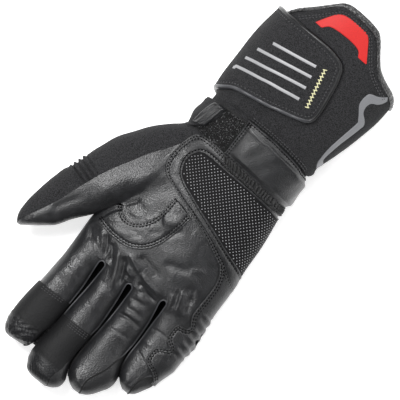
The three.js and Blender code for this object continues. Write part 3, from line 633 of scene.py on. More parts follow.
def fourchette_grids(pitch):
    """The side walls of the fingers, gathered by the slit that they line, and in each slit a dark sheet of painted
    shade.
    """
    grids = {0: [], 1: [], 2: []}
    for number in range(4):
        for side in (0, 1):
            if (number, side) == (0, 0):
                continue
            slit = min(number if side else number - 1, 2)
            grids[slit].append((finger_side(number, side, pitch)[0], False, side == 1))
    for slit in range(3):
        # A dark sheet deep in each slit: painted shade that hides the floor.
        grids[slit].append((slit_shade_sheet(slit), False, False))
    return grids


def slit_shade_sheet(slit):
    """A dark sheet across a slit, from edge to edge, 12 mm over the floor: painted shade that stands in for the slit's
    depth and hides the floor below."""
    y = np.linspace(SLIT_TOPS[slit] + 1.5, (-156, -155, -138)[slit], 80)
    left, right = slit_edges(slit, np.minimum(y, SLIT_TOPS[slit] - 2.8))
    x = left[:, None] - 1.2 + (right - left + 2.4)[:, None] * np.linspace(0, 1, 7)[None, :]
    return np.stack([x, np.broadcast_to(y[:, None], x.shape), np.full(x.shape, SLIT_SHADE_HEIGHT)], axis=-1)


def welt_lines():
    """The edges of the finger panels: from one finger's tip up its side, round the slit's top and
    down its neighbour's side."""
    lines = []
    for slit in range(3):
        _, y, x, z = finger_side(slit, 1, 0.9)
        _, y2, x2, z2 = finger_side(slit + 1, 0, 0.9)
        keep, keep2 = y > TIPS[slit] + 0.6, y2 > TIPS[slit + 1] + 5
        a = np.stack([x, y, z], axis=1)[keep][::-1]
        b = np.stack([x2, y2, z2], axis=1)[keep2]
        lines.append(resample(np.vstack([a, b[1:]]), 0.9))
    _, y, x, z = finger_side(3, 1, 0.9)
    lines.append(resample(np.stack([x, y, z], axis=1)[y < -116], 0.9))
    return lines


# ---- the skin that patches lie on ----
SKIN = {}


def ring_point(turn, y, grow):
    """A point of the hand's or cuff's section at a turn, 0 at the right and a quarter turn at the
    top: a superellipse grown outwards, flat on the floor."""
    left, right = along(BODY, y, 1), along(BODY, y, 2)
    low, high = along(BODY, y, 3), along(BODY, y, 4)
    c, s = np.cos(turn), np.sin(turn)
    x = (left + right) / 2 + ((right - left) / 2 + grow) * np.sign(c) * np.abs(c) ** (2 / BODY_POWER)
    z = (low + high) / 2 + ((high - low) / 2 + grow) * np.sign(s) * np.abs(s) ** (2 / BODY_POWER)
    return x, on_floor(z)


def cuff_ripple(x, y):
    """Soft upright folds of the cuff's cloth, strongest between the wrist and the strap, as waves
    in x that fade with y."""
    low = ease(112, 74, y) * ease(60, 70, y)
    waves = 0.55 * np.sin(x * 0.42 + 0.06 * y) + 0.35 * np.sin(x * 0.23 - 0.11 * y + 1.3)
    bulge = 1.9 * np.exp(-(((x - 50) / 7) ** 2) - ((y - 64.5) / 3.2) ** 2)
    broad = 0.5 * np.sin(x * 0.11 + 2.0) * np.sin(y * 0.09)
    return waves * low + bulge + broad * ease(66, 90, y)


def cuff_grow(x, y):
    """How far the outer cloth stands out from the plain section: nothing at the wrist, 0.7 on the
    cuff, and its ripples."""
    return 0.7 * ease(60, 66, y) + cuff_ripple(x, y) * ease(58, 64, y)


def make_skin(step=0.6):
    """Tabulates the outer surface by its place along the glove and a width coordinate. That is x on
    the upper side, and runs on as arc length round the sides from 9 mm inside them."""
    ys = np.arange(-141, 179, step)
    ws = np.arange(-112, 126, step)
    table = np.zeros((len(ys), len(ws), 3))
    turn = np.linspace(-1.9, np.pi + 1.9, 500)
    for n, y in enumerate(ys):
        if y > HAND_END - 3:
            grow = cuff_grow(ring_point(turn, np.full(turn.shape, y), 0)[0], y)
            x, z = ring_point(turn, np.full(turn.shape, y), grow)
            x, z = x[::-1], z[::-1]
            left, right = x.min(), x.max()
        else:
            right = float(along(BODY, y, 2) if y > -60 else along(LITTLE_RIGHT, y))
            left = -60.0
            top_x = np.r_[np.linspace(left, right - 12, 160, endpoint=False), right - 12 + 12 * np.sin(np.linspace(0, np.pi / 2, 60))]
            yy = np.full(top_x.shape, y)
            borders = [slit_edges(k, y) for k in range(3)]
            group = sum((top_x > (a + b) / 2).astype(int) for a, b in borders)
            top_z = np.zeros(top_x.shape)
            for k in range(4):
                own = group == k
                if own.any():
                    top_z[own] = hand_heights(k, top_x[own], yy[own], bool(y > CROTCH_Y))[0]
            top_z += relief(top_x, yy)
            low_x = right - 30 * (1 - np.cos(np.linspace(0.05, np.pi / 2, 60)))
            low_z = on_floor(hand_heights(3, low_x, np.full(low_x.shape, y), bool(y > CROTCH_Y))[1])
            x, z = np.r_[top_x, low_x], np.r_[top_z, low_z]
        arc = np.r_[0, np.cumsum(np.hypot(np.diff(x), np.diff(z)))]
        w = arc.copy()
        peak = int(np.argmax(z))
        first = peak
        while first > 0 and x[first - 1] < x[first] and x[first - 1] > left + (WRAP_START if y > HAND_END - 3 else 0):
            first -= 1
        last = peak
        while last < len(x) - 1 and x[last + 1] > x[last] and x[last + 1] < right - WRAP_START:
            last += 1
        w[first : last + 1] = x[first : last + 1]
        w[:first] = x[first] - (arc[first] - arc[:first])
        w[last + 1 :] = x[last] + (arc[last + 1 :] - arc[last])
        table[n, :, 0] = np.interp(ws, w, x)
        table[n, :, 2] = np.interp(ws, w, z)
        table[n, :, 1] = y
    n = np.cross(np.gradient(table, axis=1), np.gradient(table, axis=0))
    length = np.linalg.norm(n, axis=-1, keepdims=True)
    n = n / np.maximum(length, 1e-9)
    for _ in range(2):
        n[1:-1, 1:-1] = (n[1:-1, 1:-1] * 2 + n[2:, 1:-1] + n[:-2, 1:-1] + n[1:-1, 2:] + n[1:-1, :-2]) / 6
    n /= np.maximum(np.linalg.norm(n, axis=-1, keepdims=True), 1e-9)
    SKIN.update(y0=ys[0], w0=ws[0], step=step, points=table, normals=n)


def skin(w, y, height=0.0):
    """The point at a height above the tabulated skin, by bilinear interpolation."""
    w, y = np.broadcast_arrays(np.asarray(w, float), np.asarray(y, float))
    rows, columns = SKIN["points"].shape[:2]
    i = np.clip((y - SKIN["y0"]) / SKIN["step"], 0, rows - 1.001)
    j = np.clip((w - SKIN["w0"]) / SKIN["step"], 0, columns - 1.001)
    i0, j0 = i.astype(int), j.astype(int)
    a, b = (i - i0)[..., None], (j - j0)[..., None]

    def pick(t):
        return (t[i0, j0] * (1 - b) + t[i0, j0 + 1] * b) * (1 - a) + (t[i0 + 1, j0] * (1 - b) + t[i0 + 1, j0 + 1] * b) * a

    point, normal = pick(SKIN["points"]), pick(SKIN["normals"])
    point[..., 1] = y
    normal /= np.maximum(np.linalg.norm(normal, axis=-1, keepdims=True), 1e-9)
    return point + normal * np.asarray(height)[..., None]


def w_at(points):
    """Points in plan (x, y) turned into (w, y): in each row of the table x grows with w between the
    two sides."""
    out = []
    for x, y in points:
        row = SKIN["points"][int(round((y - SKIN["y0"]) / SKIN["step"])), :, 0]
        first, last = int(np.argmin(row)), int(np.argmax(row))
        out.append((np.interp(x, row[first : last + 1], SKIN["w0"] + SKIN["step"] * np.arange(first, last + 1)), y))
    return out


def edge_spaced(length, pitch):
    """Shares along a side: close together within 4.4 mm of each end, then about a pitch apart."""
    near = np.array([0, 0.15, 0.35, 0.6, 0.9, 1.2, 1.5, 1.8, 2.1, 2.4, 2.7, 3.0, 3.3, 3.6, 4.0, 4.4])
    near = near[near < length / 2 - 0.3]
    inner = np.linspace(near[-1], length - near[-1], max(int((length - 2 * near[-1]) / pitch), 2) + 1)
    return np.r_[near[:-1], inner, (length - near[:-1])[::-1]] / length


def coons(low, high, left, right, pitch):
    """Fills four edge paths in (w, y) by a Coons patch: the mean of its two rulings less the
    bilinear part. low and high run left to right, left and right run low to high."""
    def at(path, t):
        steps = np.r_[0, np.cumsum(np.linalg.norm(np.diff(path, axis=0), axis=1))]
        return np.stack([np.interp(t * steps[-1], steps, path[:, n]) for n in (0, 1)], axis=1)

    span = np.linalg.norm(np.diff(low, axis=0), axis=1).sum()
    rise = np.linalg.norm(np.diff(right, axis=0), axis=1).sum()
    s, t = edge_spaced(max(span, 5), pitch), edge_spaced(max(rise, 5), pitch)
    a, b, c, d = at(low, s)[None], at(high, s)[None], at(left, t)[:, None], at(right, t)[:, None]
    s, t = s[None, :, None], t[:, None, None]
    corners = (1 - s) * (1 - t) * low[0] + s * (1 - t) * low[-1] + (1 - s) * t * high[0] + s * t * high[-1]
    return (1 - t) * a + t * b + (1 - s) * c + s * d - corners


def rolled(distance, base, thickness, roll):
    """Height of a plate's top: its base plus the thickness, rounded down as a quarter circle over
    the roll at its edge."""
    t = np.clip(distance / roll, 0, 1)
    return base + thickness * (0.35 + 0.65 * np.sqrt(t * (2 - t)))


def plate_grid(sides, base, thickness, roll, pitch=1.0, shape=None, sink=0.3, sharp=False):
    """A patch laid on the skin: a Coons patch with rolled edges, and a skirt that goes down into
    the skin. shape gives extra height from w, y and distance to the edge."""
    low, high, left, right = (smooth_path(side, 0.8) if len(side) > 2 and not sharp else resample(np.asarray(side, float), 0.8) for side in sides)
    wy = coons(low, high, left, right, pitch)
    outline = np.vstack([low, right[1:], high[::-1][1:], left[::-1][1:]])
    distance, _ = distance_to_path(wy[..., 0], wy[..., 1], outline)
    height = rolled(distance, base, thickness, roll)
    if shape is not None:
        height = height + shape(wy[..., 0], wy[..., 1], distance)
    top = skin(wy[..., 0], wy[..., 1], height)
    foot = skin(wy[..., 0], wy[..., 1], np.full(height.shape, -sink))
    padded = np.pad(top, ((1, 1), (1, 1), (0, 0)), mode="edge")
    edge_foot = np.pad(foot, ((1, 1), (1, 1), (0, 0)), mode="edge")
    padded[0], padded[-1] = edge_foot[0], edge_foot[-1]
    padded[:, 0], padded[:, -1] = edge_foot[:, 0], edge_foot[:, -1]
    return padded, outline


def band_grid(path, offsets, heights, closed=False, wave=None):
    """A strip along a path in (w, y): columns at sideways offsets, each at its height above the
    skin."""
    path = np.asarray(path, float)
    run = np.roll(path, -1, axis=0) - np.roll(path, 1, axis=0) if closed else np.gradient(path, axis=0)
    run /= np.maximum(np.linalg.norm(run, axis=1, keepdims=True), 1e-9)
    across = np.stack([-run[:, 1], run[:, 0]], axis=1)
    offsets, heights = np.asarray(offsets, float)[None, :], np.asarray(heights, float)[None, :]
    heights = np.broadcast_to(heights, (len(path), heights.shape[1]))
    if wave is not None:
        heights = heights + wave(path)
    w = path[:, 0:1] + across[:, 0:1] * offsets
    y = path[:, 1:2] + across[:, 1:2] * offsets
    grid = skin(w, y, heights)
    return np.concatenate([grid, grid[:1]], axis=0) if closed else grid


def round_band(path, width, height, base=0.0, closed=False, sides=9, wave=None):
    """A strip with an arched top: half a superellipse in section, its feet sunk below the base."""
    turn = np.linspace(0, np.pi, sides)
    c, s = np.cos(turn), np.sin(turn)
    offsets = np.r_[-width / 2, -width / 2 * np.sign(c) * np.abs(c) ** 0.8, width / 2]
    heights = np.r_[base - 0.4, base + height * np.abs(s) ** 0.8, base - 0.4]
    return band_grid(path, offsets, heights, closed, wave)


def capsules(w, y, angle, length, radius, height, bow=1.4, sides=6):
    """Small bowed capsules laid on the skin at an angle in (w, y): 5 rings of a round section,
    their ends sunk by the bow."""
    w, y, angle, height = (np.asarray(v, float) + np.zeros(len(w)) for v in (w, y, angle, height))
    step = 0.3
    p = skin(w, y, height)
    a = skin(w - step * np.cos(angle), y - step * np.sin(angle), height)
    b = skin(w + step * np.cos(angle), y + step * np.sin(angle), height)
    n = skin(w, y, height + 1.0) - p
    t = b - a
    t /= np.maximum(np.linalg.norm(t, axis=1, keepdims=True), 1e-9)
    side = np.cross(n, t)
    side /= np.maximum(np.linalg.norm(side, axis=1, keepdims=True), 1e-9)
    n = np.cross(t, side)
    ring = np.linspace(0, 2 * np.pi, sides, endpoint=False)
    share = np.array([-1, -0.75, 0, 0.75, 1])
    girth = np.array([0.3, 0.85, 1, 0.85, 0.3])
    sink = np.array([-bow, -bow * 0.2, bow * 0.2, -bow * 0.2, -bow]) * radius
    template = np.stack([
        np.repeat(share * length / 2, sides),
        (girth[:, None] * np.cos(ring)[None, :] * radius).ravel(),
        (girth[:, None] * np.sin(ring)[None, :] * radius * 0.85 + sink[:, None]).ravel(),
    ], axis=1)
    points = p[:, None] + t[:, None] * template[None, :, 0:1] + side[:, None] * template[None, :, 1:2] + n[:, None] * template[None, :, 2:3]
    faces = quads_of(5, sides, 0, True)[:, ::-1]
    fan = np.array([(0, k, k + 1, k + 2) for k in range(1, sides - 1, 2)])
    faces = np.vstack([faces, fan, fan[:, ::-1] + 4 * sides])
    every = (faces[None] + (np.arange(len(w)) * len(template))[:, None, None]).reshape(-1, 4)
    return points.reshape(-1, 3), every


def stitch_raw(paths, pitch=2.6, length=1.6, radius=0.46, lift=0.05):
    """Stitches along paths in (w, y), each path with its height over the skin: one capsule for each
    pitch."""
    parts = []
    for path, height in paths:
        path = resample(np.asarray(path, float), pitch)
        middles = (path[:-1] + path[1:]) / 2
        run = path[1:] - path[:-1]
        parts.append((middles, np.arctan2(run[:, 1], run[:, 0]), np.full(len(middles), height + lift)))
    middles = np.vstack([part[0] for part in parts])
    angle = np.concatenate([part[1] for part in parts])
    height = np.concatenate([part[2] for part in parts])
    return capsules(middles[:, 0], middles[:, 1], angle, length, radius, height)


def channels(distance, places, depth=0.38, width=0.55):
    """Grooves that stitch rows pull in, at set distances from an edge: a sum of Gaussians."""
    return -depth * sum(np.exp(-(((distance - place) / width) ** 2)) for place in places)


# ---- outlines of the patches, in (w, y): w is x until 9 mm inside a side, then arc length ----
SADDLE = [
    [(-50, -56), (-46, -57.4), (-40, -59), (-34, -59.6), (-27, -59.7), (-20, -58.8), (-14, -56),
     (-9, -52), (-4.5, -46), (-1, -38), (1.4, -28), (3.6, -14.6)],
    [(-41, -37.4), (-38.6, -40.6), (-35, -42.6), (-30, -42.8), (-25, -40.6), (-20, -35),
     (-17.4, -29), (-16, -21), (-15.6, -9.6)],
    [(-50, -56), (-46, -46), (-41, -37.4)],
    [(3.6, -14.6), (-6, -11.4), (-15.6, -9.6)],
]
SADDLE_HIDDEN = [[(-52, -60), (-46, -46), (-41, -37.4)], [(5.6, -12.6), (-6, -9.6), (-16.6, -6.8)]]
HEEL_OUTER = [
    (-4.6, 37), (-12, 38), (-20, 38.6), (-26, 38.2), (-30.6, 36), (-34, 30), (-36.4, 20),
    (-36.5, 10), (-34.6, 4), (-30, -0.6), (-20, -4.6),
    (-10, -8), (0, -11), (10, -15), (20, -19), (30, -24), (40, -29), (46, -33.4), (56, -38),
    (68, -41),
]
GRIP_SIDES = [
    [(-25, 13), (-22, 6.6), (-15, 2), (-5, -2), (5, -6), (15, -9.5), (25, -13), (35, -17),
     (45, -20.5), (52, -23), (66, -26)],
    [(-17, 29.4), (-8, 29.2), (0, 28.6), (20, 27.6), (40, 26), (50, 24.4), (66, 23)],
    [(-25, 13), (-25.8, 17), (-25, 22), (-22, 27), (-17, 29.4)],
    [(66, -26), (68, -10), (68, 10), (66, 23)],
]
GUARD_EDGE = [
    (40, -29), (44, -35), (46, -42), (46.5, -50), (46.5, -67), (48.3, -73), (50.6, -77),
    (48.6, -79.4), (42.8, -80.6), (41.4, -86),
    (42, -92), (45, -96), (48.6, -98), (45.4, -100), (40.6, -103), (39.5, -108), (40, -114),
    (42.4, -117), (49, -119.8), (55, -124),
]
CUFF_STRAP = [
    [(-66, 67), (-56, 70), (-41, 72), (-30, 77.5), (-20, 80), (0, 84), (18, 88.5), (24.6, 91)],
    [(-66, 146), (-40, 145), (-33, 144.5), (0, 144), (10, 143), (18.6, 140.6), (23, 136.6)],
    [(-66, 67), (-67, 100), (-66, 146)],
    [(24.6, 91), (28, 94), (29.4, 99), (29.2, 106), (28, 115), (26, 127), (23, 136.6)],
]
WRIST_STRAP = [
    [(-60, 38), (-50, 38), (-40, 38.8), (-30, 43.6)],
    [(-60, 62), (-44, 63), (-34, 63.4), (-24.4, 63)],
    [(-60, 38), (-61, 49), (-60, 62)],
    [(-30, 43.6), (-27.6, 49), (-25.4, 55), (-24.4, 63)],
]
STRAP_PULL = [
    [(-38.4, 42.8), (-33, 43), (-28.8, 45)],
    [(-33.4, 63), (-29, 63.8), (-24.6, 63.4)],
    [(-38.4, 42.8), (-36.6, 52), (-33.4, 63)],
    [(-28.8, 45), (-26.4, 54), (-24.6, 63.4)],
]
LOOP_PATCH = [
    [(-34, 38), (-20, 37.6), (-7, 37.4)],
    [(-34, 64), (-20, 64.4), (-7, 64.6)],
    [(-34, 38), (-34, 50), (-34, 64)],
    [(-7, 37.4), (-7.4, 50), (-7, 64.6)],
]
WRIST_LEATHER = [
    [(-6.8, 37.6), (0, 37), (20, 35.2), (40, 33.4), (50, 32.6), (78, 32)],
    [(-7.2, 67), (0, 67), (20, 66), (40, 63), (50, 60.4), (78, 58)],
    [(-6.8, 37.6), (-7.2, 52), (-7.2, 67)],
    [(78, 32), (79, 45), (78, 58)],
]
GATHER = [
    [(-6, 30.2), (4, 29.4), (20, 28.6), (40, 27.4), (50, 26.4), (76, 25)],
    [(-7.4, 38.4), (4, 37.9), (20, 36.6), (40, 34.8), (50, 34), (76, 33.6)],
    [(-6, 30.2), (-6.8, 34), (-7.4, 38.4)],
    [(76, 25), (76.4, 29), (76, 33.6)],
]
LINES = [
    [(-26, 121.2), (7, 127)],
    [(-32, 111.3), (9, 119)],
    [(-36.3, 101.3), (10.5, 110.5)],
    [(-40, 90.5), (-37.6, 91.2), (-35, 93), (11.5, 101.5)],
]
RED_PATCH = [
    [(-13.2, 151.3), (-7.3, 150.8), (-5.6, 153), (-3.5, 154.9), (0, 155.8), (4.6, 156.2),
     (13, 156.2), (19.9, 155.4), (23.4, 154.2), (24.8, 152.8), (26.3, 150), (33.6, 149.7)],
    [(-13, 151.9), (-8.4, 159.6), (-5.4, 164), (-3.2, 166.4), (0.5, 168), (5, 168.6), (9, 168.6),
     (19.5, 167.8), (22.6, 166.6), (25.1, 163.9), (34, 150.3)],
]
# The side stripe's right and left edge, in plan.
STRIPE = [
    [(54.6, 74.1), (52.6, 76.4), (52.1, 79.4), (53.3, 87.2), (56.6, 101), (59.1, 111),
     (59.8, 114.1), (59, 116.4), (57.2, 118.4), (54.4, 120.8), (53.2, 123),
     (52.8, 126), (53.4, 128.6), (55, 130.6), (58, 132.1), (60.4, 134.6), (62.2, 138.6)],
    [(51.8, 69.4), (50.4, 72), (49.8, 75), (49.9, 83.3), (51.6, 95), (54.9, 112.2),
     (54.2, 114.8), (51.6, 118.8), (49, 122.3), (47.7, 125), (47.4, 128), (47.7, 131),
     (48.7, 134.3), (51.4, 135.8), (54.4, 136.6), (57.6, 138.4), (60.7, 141)],
]


# ---- finishes ----
def new_finish(name, colour, roughness, specular=0.5, sheen=0.0, coat=0.0):
    """A Principled finish, with its values set on the shader's own sockets."""
    finish = bpy.data.materials.new(name)
    finish.use_nodes = True
    shader = finish.node_tree.nodes["Principled BSDF"]
    shader.inputs["Base Color"].default_value = (*colour, 1)
    shader.inputs["Roughness"].default_value = roughness
    shader.inputs["Specular IOR Level"].default_value = specular
    shader.inputs["Sheen Weight"].default_value = sheen
    shader.inputs["Sheen Roughness"].default_value = 0.4
    shader.inputs["Coat Weight"].default_value = coat
    shader.inputs["Coat Roughness"].default_value = 0.3
    return finish


def node(finish, kind, **values):
    made = finish.node_tree.nodes.new(kind)
    for key, value in values.items():
        if key in ("inputs",):
            for socket, number in value.items():
                made.inputs[socket].default_value = number
        else:
            setattr(made, key, value)
    return made


def link(finish, source, socket, target, into):
    finish.node_tree.links.new(source.outputs[socket], target.inputs[into])


def object_place(finish, scale=(1, 1, 1), turn=(0, 0, 0)):
    """Object coordinates, turned and scaled by a Mapping node."""
    place = node(finish, "ShaderNodeTexCoord")
    mapping = node(finish, "ShaderNodeMapping")
    mapping.inputs["Scale"].default_value = scale
    mapping.inputs["Rotation"].default_value = turn
    link(finish, place, "Object", mapping, "Vector")
    return mapping


def bump_chain(finish, layers):
    """Adds bumps one on another. Each layer is (height node, its output, distance in metres,
    strength)."""
    last = None
    for source, socket, distance, strength in layers:
        bump = node(finish, "ShaderNodeBump", inputs={"Strength": strength, "Distance": distance})
        link(finish, source, socket, bump, "Height")
        if last:
            link(finish, last, "Normal", bump, "Normal")
        last = bump
    link(finish, last, "Normal", finish.node_tree.nodes["Principled BSDF"], "Normal")


def mottled(finish, source, socket, dark, light, low=0.35, high=0.65):
    """Colour that passes from dark to light as a texture goes from low to high."""
    ramp = node(finish, "ShaderNodeValToRGB")
    ramp.color_ramp.elements[0].position, ramp.color_ramp.elements[1].position = low, high
    ramp.color_ramp.elements[0].color, ramp.color_ramp.elements[1].color = (*dark, 1), (*light, 1)
    link(finish, source, socket, ramp, "Fac")
    link(finish, ramp, "Color", finish.node_tree.nodes["Principled BSDF"], "Base Color")
    return ramp


def uneven_roughness(finish, source, socket, low, high):
    """Roughness that follows a texture between two values."""
    ranged = node(finish, "ShaderNodeMapRange", inputs={"From Min": 0.3, "From Max": 0.7, "To Min": low, "To Max": high})
    link(finish, source, socket, ranged, "Value")
    link(finish, ranged, "Result", finish.node_tree.nodes["Principled BSDF"], "Roughness")


def leather_finish(name, colour, roughness, grain=1100, crease=1.0, specular=0.5):
    """Goat leather: pebbles of about a millimetre, finer pores, soft creases and a slightly uneven
    polish."""
    finish = new_finish(name, colour, roughness, specular=specular)
    place = object_place(finish)
    pebbles = node(finish, "ShaderNodeTexVoronoi", feature="SMOOTH_F1", inputs={"Scale": grain, "Smoothness": 0.6})
    pores = node(finish, "ShaderNodeTexNoise", inputs={"Scale": 2600, "Detail": 3})
    warp = node(finish, "ShaderNodeTexNoise", inputs={"Scale": 95, "Detail": 5, "Distortion": 1.4})
    broad = node(finish, "ShaderNodeTexNoise", inputs={"Scale": 28, "Detail": 3, "Distortion": 0.6})
    for texture in (pebbles, pores, warp, broad):
        link(finish, place, "Vector", texture, "Vector")
    bump_chain(finish, [
        (broad, "Fac", 0.003, 0.25 * crease),
        (warp, "Fac", 0.0006, 0.2 * crease),
        (pebbles, "Distance", 0.0004, 0.5),
        (pores, "Fac", 0.00015, 0.5),
    ])
    dark = tuple(c * 0.72 for c in colour)
    light = tuple(c * 1.35 for c in colour)
    mottled(finish, warp, "Fac", dark, light)
    uneven_roughness(finish, broad, "Fac", roughness - 0.07, roughness + 0.08)
    return finish


def along_hand(finish, near, far, start, end):
    """Colour that passes from near at y = start to far at y = end, in metres along the hand."""
    place = node(finish, "ShaderNodeTexCoord")
    split = node(finish, "ShaderNodeSeparateXYZ")
    share = node(finish, "ShaderNodeMapRange", interpolation_type="SMOOTHSTEP", inputs={"From Min": start, "From Max": end})
    link(finish, place, "Object", split, "Vector")
    link(finish, split, "Y", share, "Value")
    mottled(finish, share, "Result", near, far, 0.0, 1.0)
    return share


def gusset_slit_shade_finish(leather):
    """Leather of the gussets: painted shade makes it near black inside the slits, where it is also dull; plain where
    the fingers part."""
    finish = leather_finish("Side leather", leather, 0.46, grain=1100, crease=0.8, specular=0.4)
    # The near-black colour inside the slits (y above -0.12 m) is painted shade; by the free sides the leather keeps its
    # own tone.
    share = along_hand(finish, tuple(c * 0.8 for c in leather), tuple(c * 0.1 for c in leather), -0.136, -0.12)
    dull = node(finish, "ShaderNodeMapRange", inputs={"To Min": 0.44, "To Max": 1.0})
    link(finish, share, "Result", dull, "Value")
    link(finish, dull, "Result", finish.node_tree.nodes["Principled BSDF"], "Roughness")
    return finish


def tip_painted_gleam_finish(name, leather, start):
    """Leather of a fingertip patch: dull, with a gleam below y = start where it is crumpled, from lower roughness and
    from colour painted twice as light there as a painted highlight.
    """
    finish = leather_finish(name, leather, 0.6, grain=900, crease=0.8, specular=0.22)
    # Twice as light below y = start: a painted highlight on the crumpled end, along with the lower roughness.
    share = along_hand(finish, tuple(c * 0.9 for c in leather), tuple(c * 0.45 for c in leather), start - 0.003, start + 0.002)
    gleam = node(finish, "ShaderNodeMapRange", inputs={"To Min": 0.32, "To Max": 0.62})
    link(finish, share, "Result", gleam, "Value")
    link(finish, gleam, "Result", finish.node_tree.nodes["Principled BSDF"], "Roughness")
    return finish


def seam_highlight_finish(leather):
    """The panels' raw edges: grey along the slits, a painted highlight, and dark round the fingertips."""
    finish = plain_finish("Panel edge", leather, 0.42, specular=0.5, noise=700, depth=0.0004)
    # The grey along the slits is a painted highlight on the rolled panel edges; the dark round the fingertips is the
    # seam's own colour.
    share = along_hand(finish, tuple(c * 0.1 for c in leather), tuple(c * 3.8 for c in leather), -0.13, -0.114)
    dull = node(finish, "ShaderNodeMapRange", inputs={"To Min": 0.95, "To Max": 0.42})
    link(finish, share, "Result", dull, "Value")
    link(finish, dull, "Result", finish.node_tree.nodes["Principled BSDF"], "Roughness")
    return finish


def piping_lit_side_finish(leather):
    """The cuff strap's edge: painted light in grey along its wrist side, and painted shade in near black round the free
    end and the far side, with a soft gleam from its coat."""
    finish = plain_finish("Piping", leather, 0.36, specular=0.35, noise=700, depth=0.0004, coat=0.1)
    # Grey along the wrist side is the lit side painted in; near black on the other sides is painted shade.
    along_hand(finish, tuple(c * 4.2 for c in leather), tuple(c * 0.5 for c in leather), 0.086, 0.098)
    return finish


def cloth_finish(name, colour, roughness=0.8, pitch=1500, sheen=0.03, specular=0.08):
    """Close woven softshell: two crossed wave textures at 45 degrees, with a little fluff."""
    finish = new_finish(name, colour, roughness, specular=specular, sheen=sheen)
    layers = []
    for turn in (0.785, -0.785):
        place = object_place(finish, turn=(0, 0, turn))
        wave = node(finish, "ShaderNodeTexWave", inputs={"Scale": pitch, "Distortion": 1.2, "Detail": 1, "Detail Scale": 2})
        link(finish, place, "Vector", wave, "Vector")
        layers.append((wave, "Fac", 0.0003, 0.35))
    place = object_place(finish)
    fluff = node(finish, "ShaderNodeTexNoise", inputs={"Scale": 1500, "Detail": 3})
    soft = node(finish, "ShaderNodeTexNoise", inputs={"Scale": 40, "Detail": 3})
    link(finish, place, "Vector", fluff, "Vector")
    link(finish, place, "Vector", soft, "Vector")
    layers += [(fluff, "Fac", 0.0003, 0.4), (soft, "Fac", 0.003, 0.3)]
    bump_chain(finish, layers)
    mottled(finish, fluff, "Fac", tuple(c * 0.4 for c in colour), tuple(c * 1.8 for c in colour), 0.36, 0.64)
    return finish


def plain_finish(name, colour, roughness, specular=0.5, noise=900, depth=0.0002, coat=0.0):
    """A plain finish with a fine uneven surface."""
    finish = new_finish(name, colour, roughness, specular=specular, coat=coat)
    place = object_place(finish)
    grain = node(finish, "ShaderNodeTexNoise", inputs={"Scale": noise, "Detail": 4})
    link(finish, place, "Vector", grain, "Vector")
    bump_chain(finish, [(grain, "Fac", depth, 0.6)])
    mottled(finish, grain, "Fac", tuple(c * 0.85 for c in colour), tuple(min(c * 1.1, 1) for c in colour))
    return finish


def speckled_finish(name, dark, light, roughness):
    """Yarn whose colour changes from loop to loop between two tones."""
    finish = new_finish(name, dark, roughness, specular=0.2, sheen=0.05)
    place = object_place(finish)
    speckle = node(finish, "ShaderNodeTexNoise", inputs={"Scale": 1000, "Detail": 2})
    link(finish, place, "Vector", speckle, "Vector")
    mottled(finish, speckle, "Fac", dark, light, 0.58, 0.7)
    return finish


def crinkled_glint_finish(name, colour, roughness):
    """Thin coated binding that catches the light on small crinkles; its colour is also painted lighter on the crinkles'
    crests and darker in their hollows, as painted glints and shade.
    """
    finish = new_finish(name, colour, roughness, specular=0.6, coat=0.5)
    place = object_place(finish)
    crinkle = node(finish, "ShaderNodeTexNoise", inputs={"Scale": 420, "Detail": 5, "Distortion": 2.5})
    link(finish, place, "Vector", crinkle, "Vector")
    bump_chain(finish, [(crinkle, "Fac", 0.0022, 1.0)])
    # Colour follows the crinkle height: painted glints on the crests, painted shade in the hollows.
    mottled(finish, crinkle, "Fac", tuple(c * 0.3 for c in colour), tuple(c * 2.6 for c in colour), 0.45, 0.68)
    return finish


FINISHES = {}


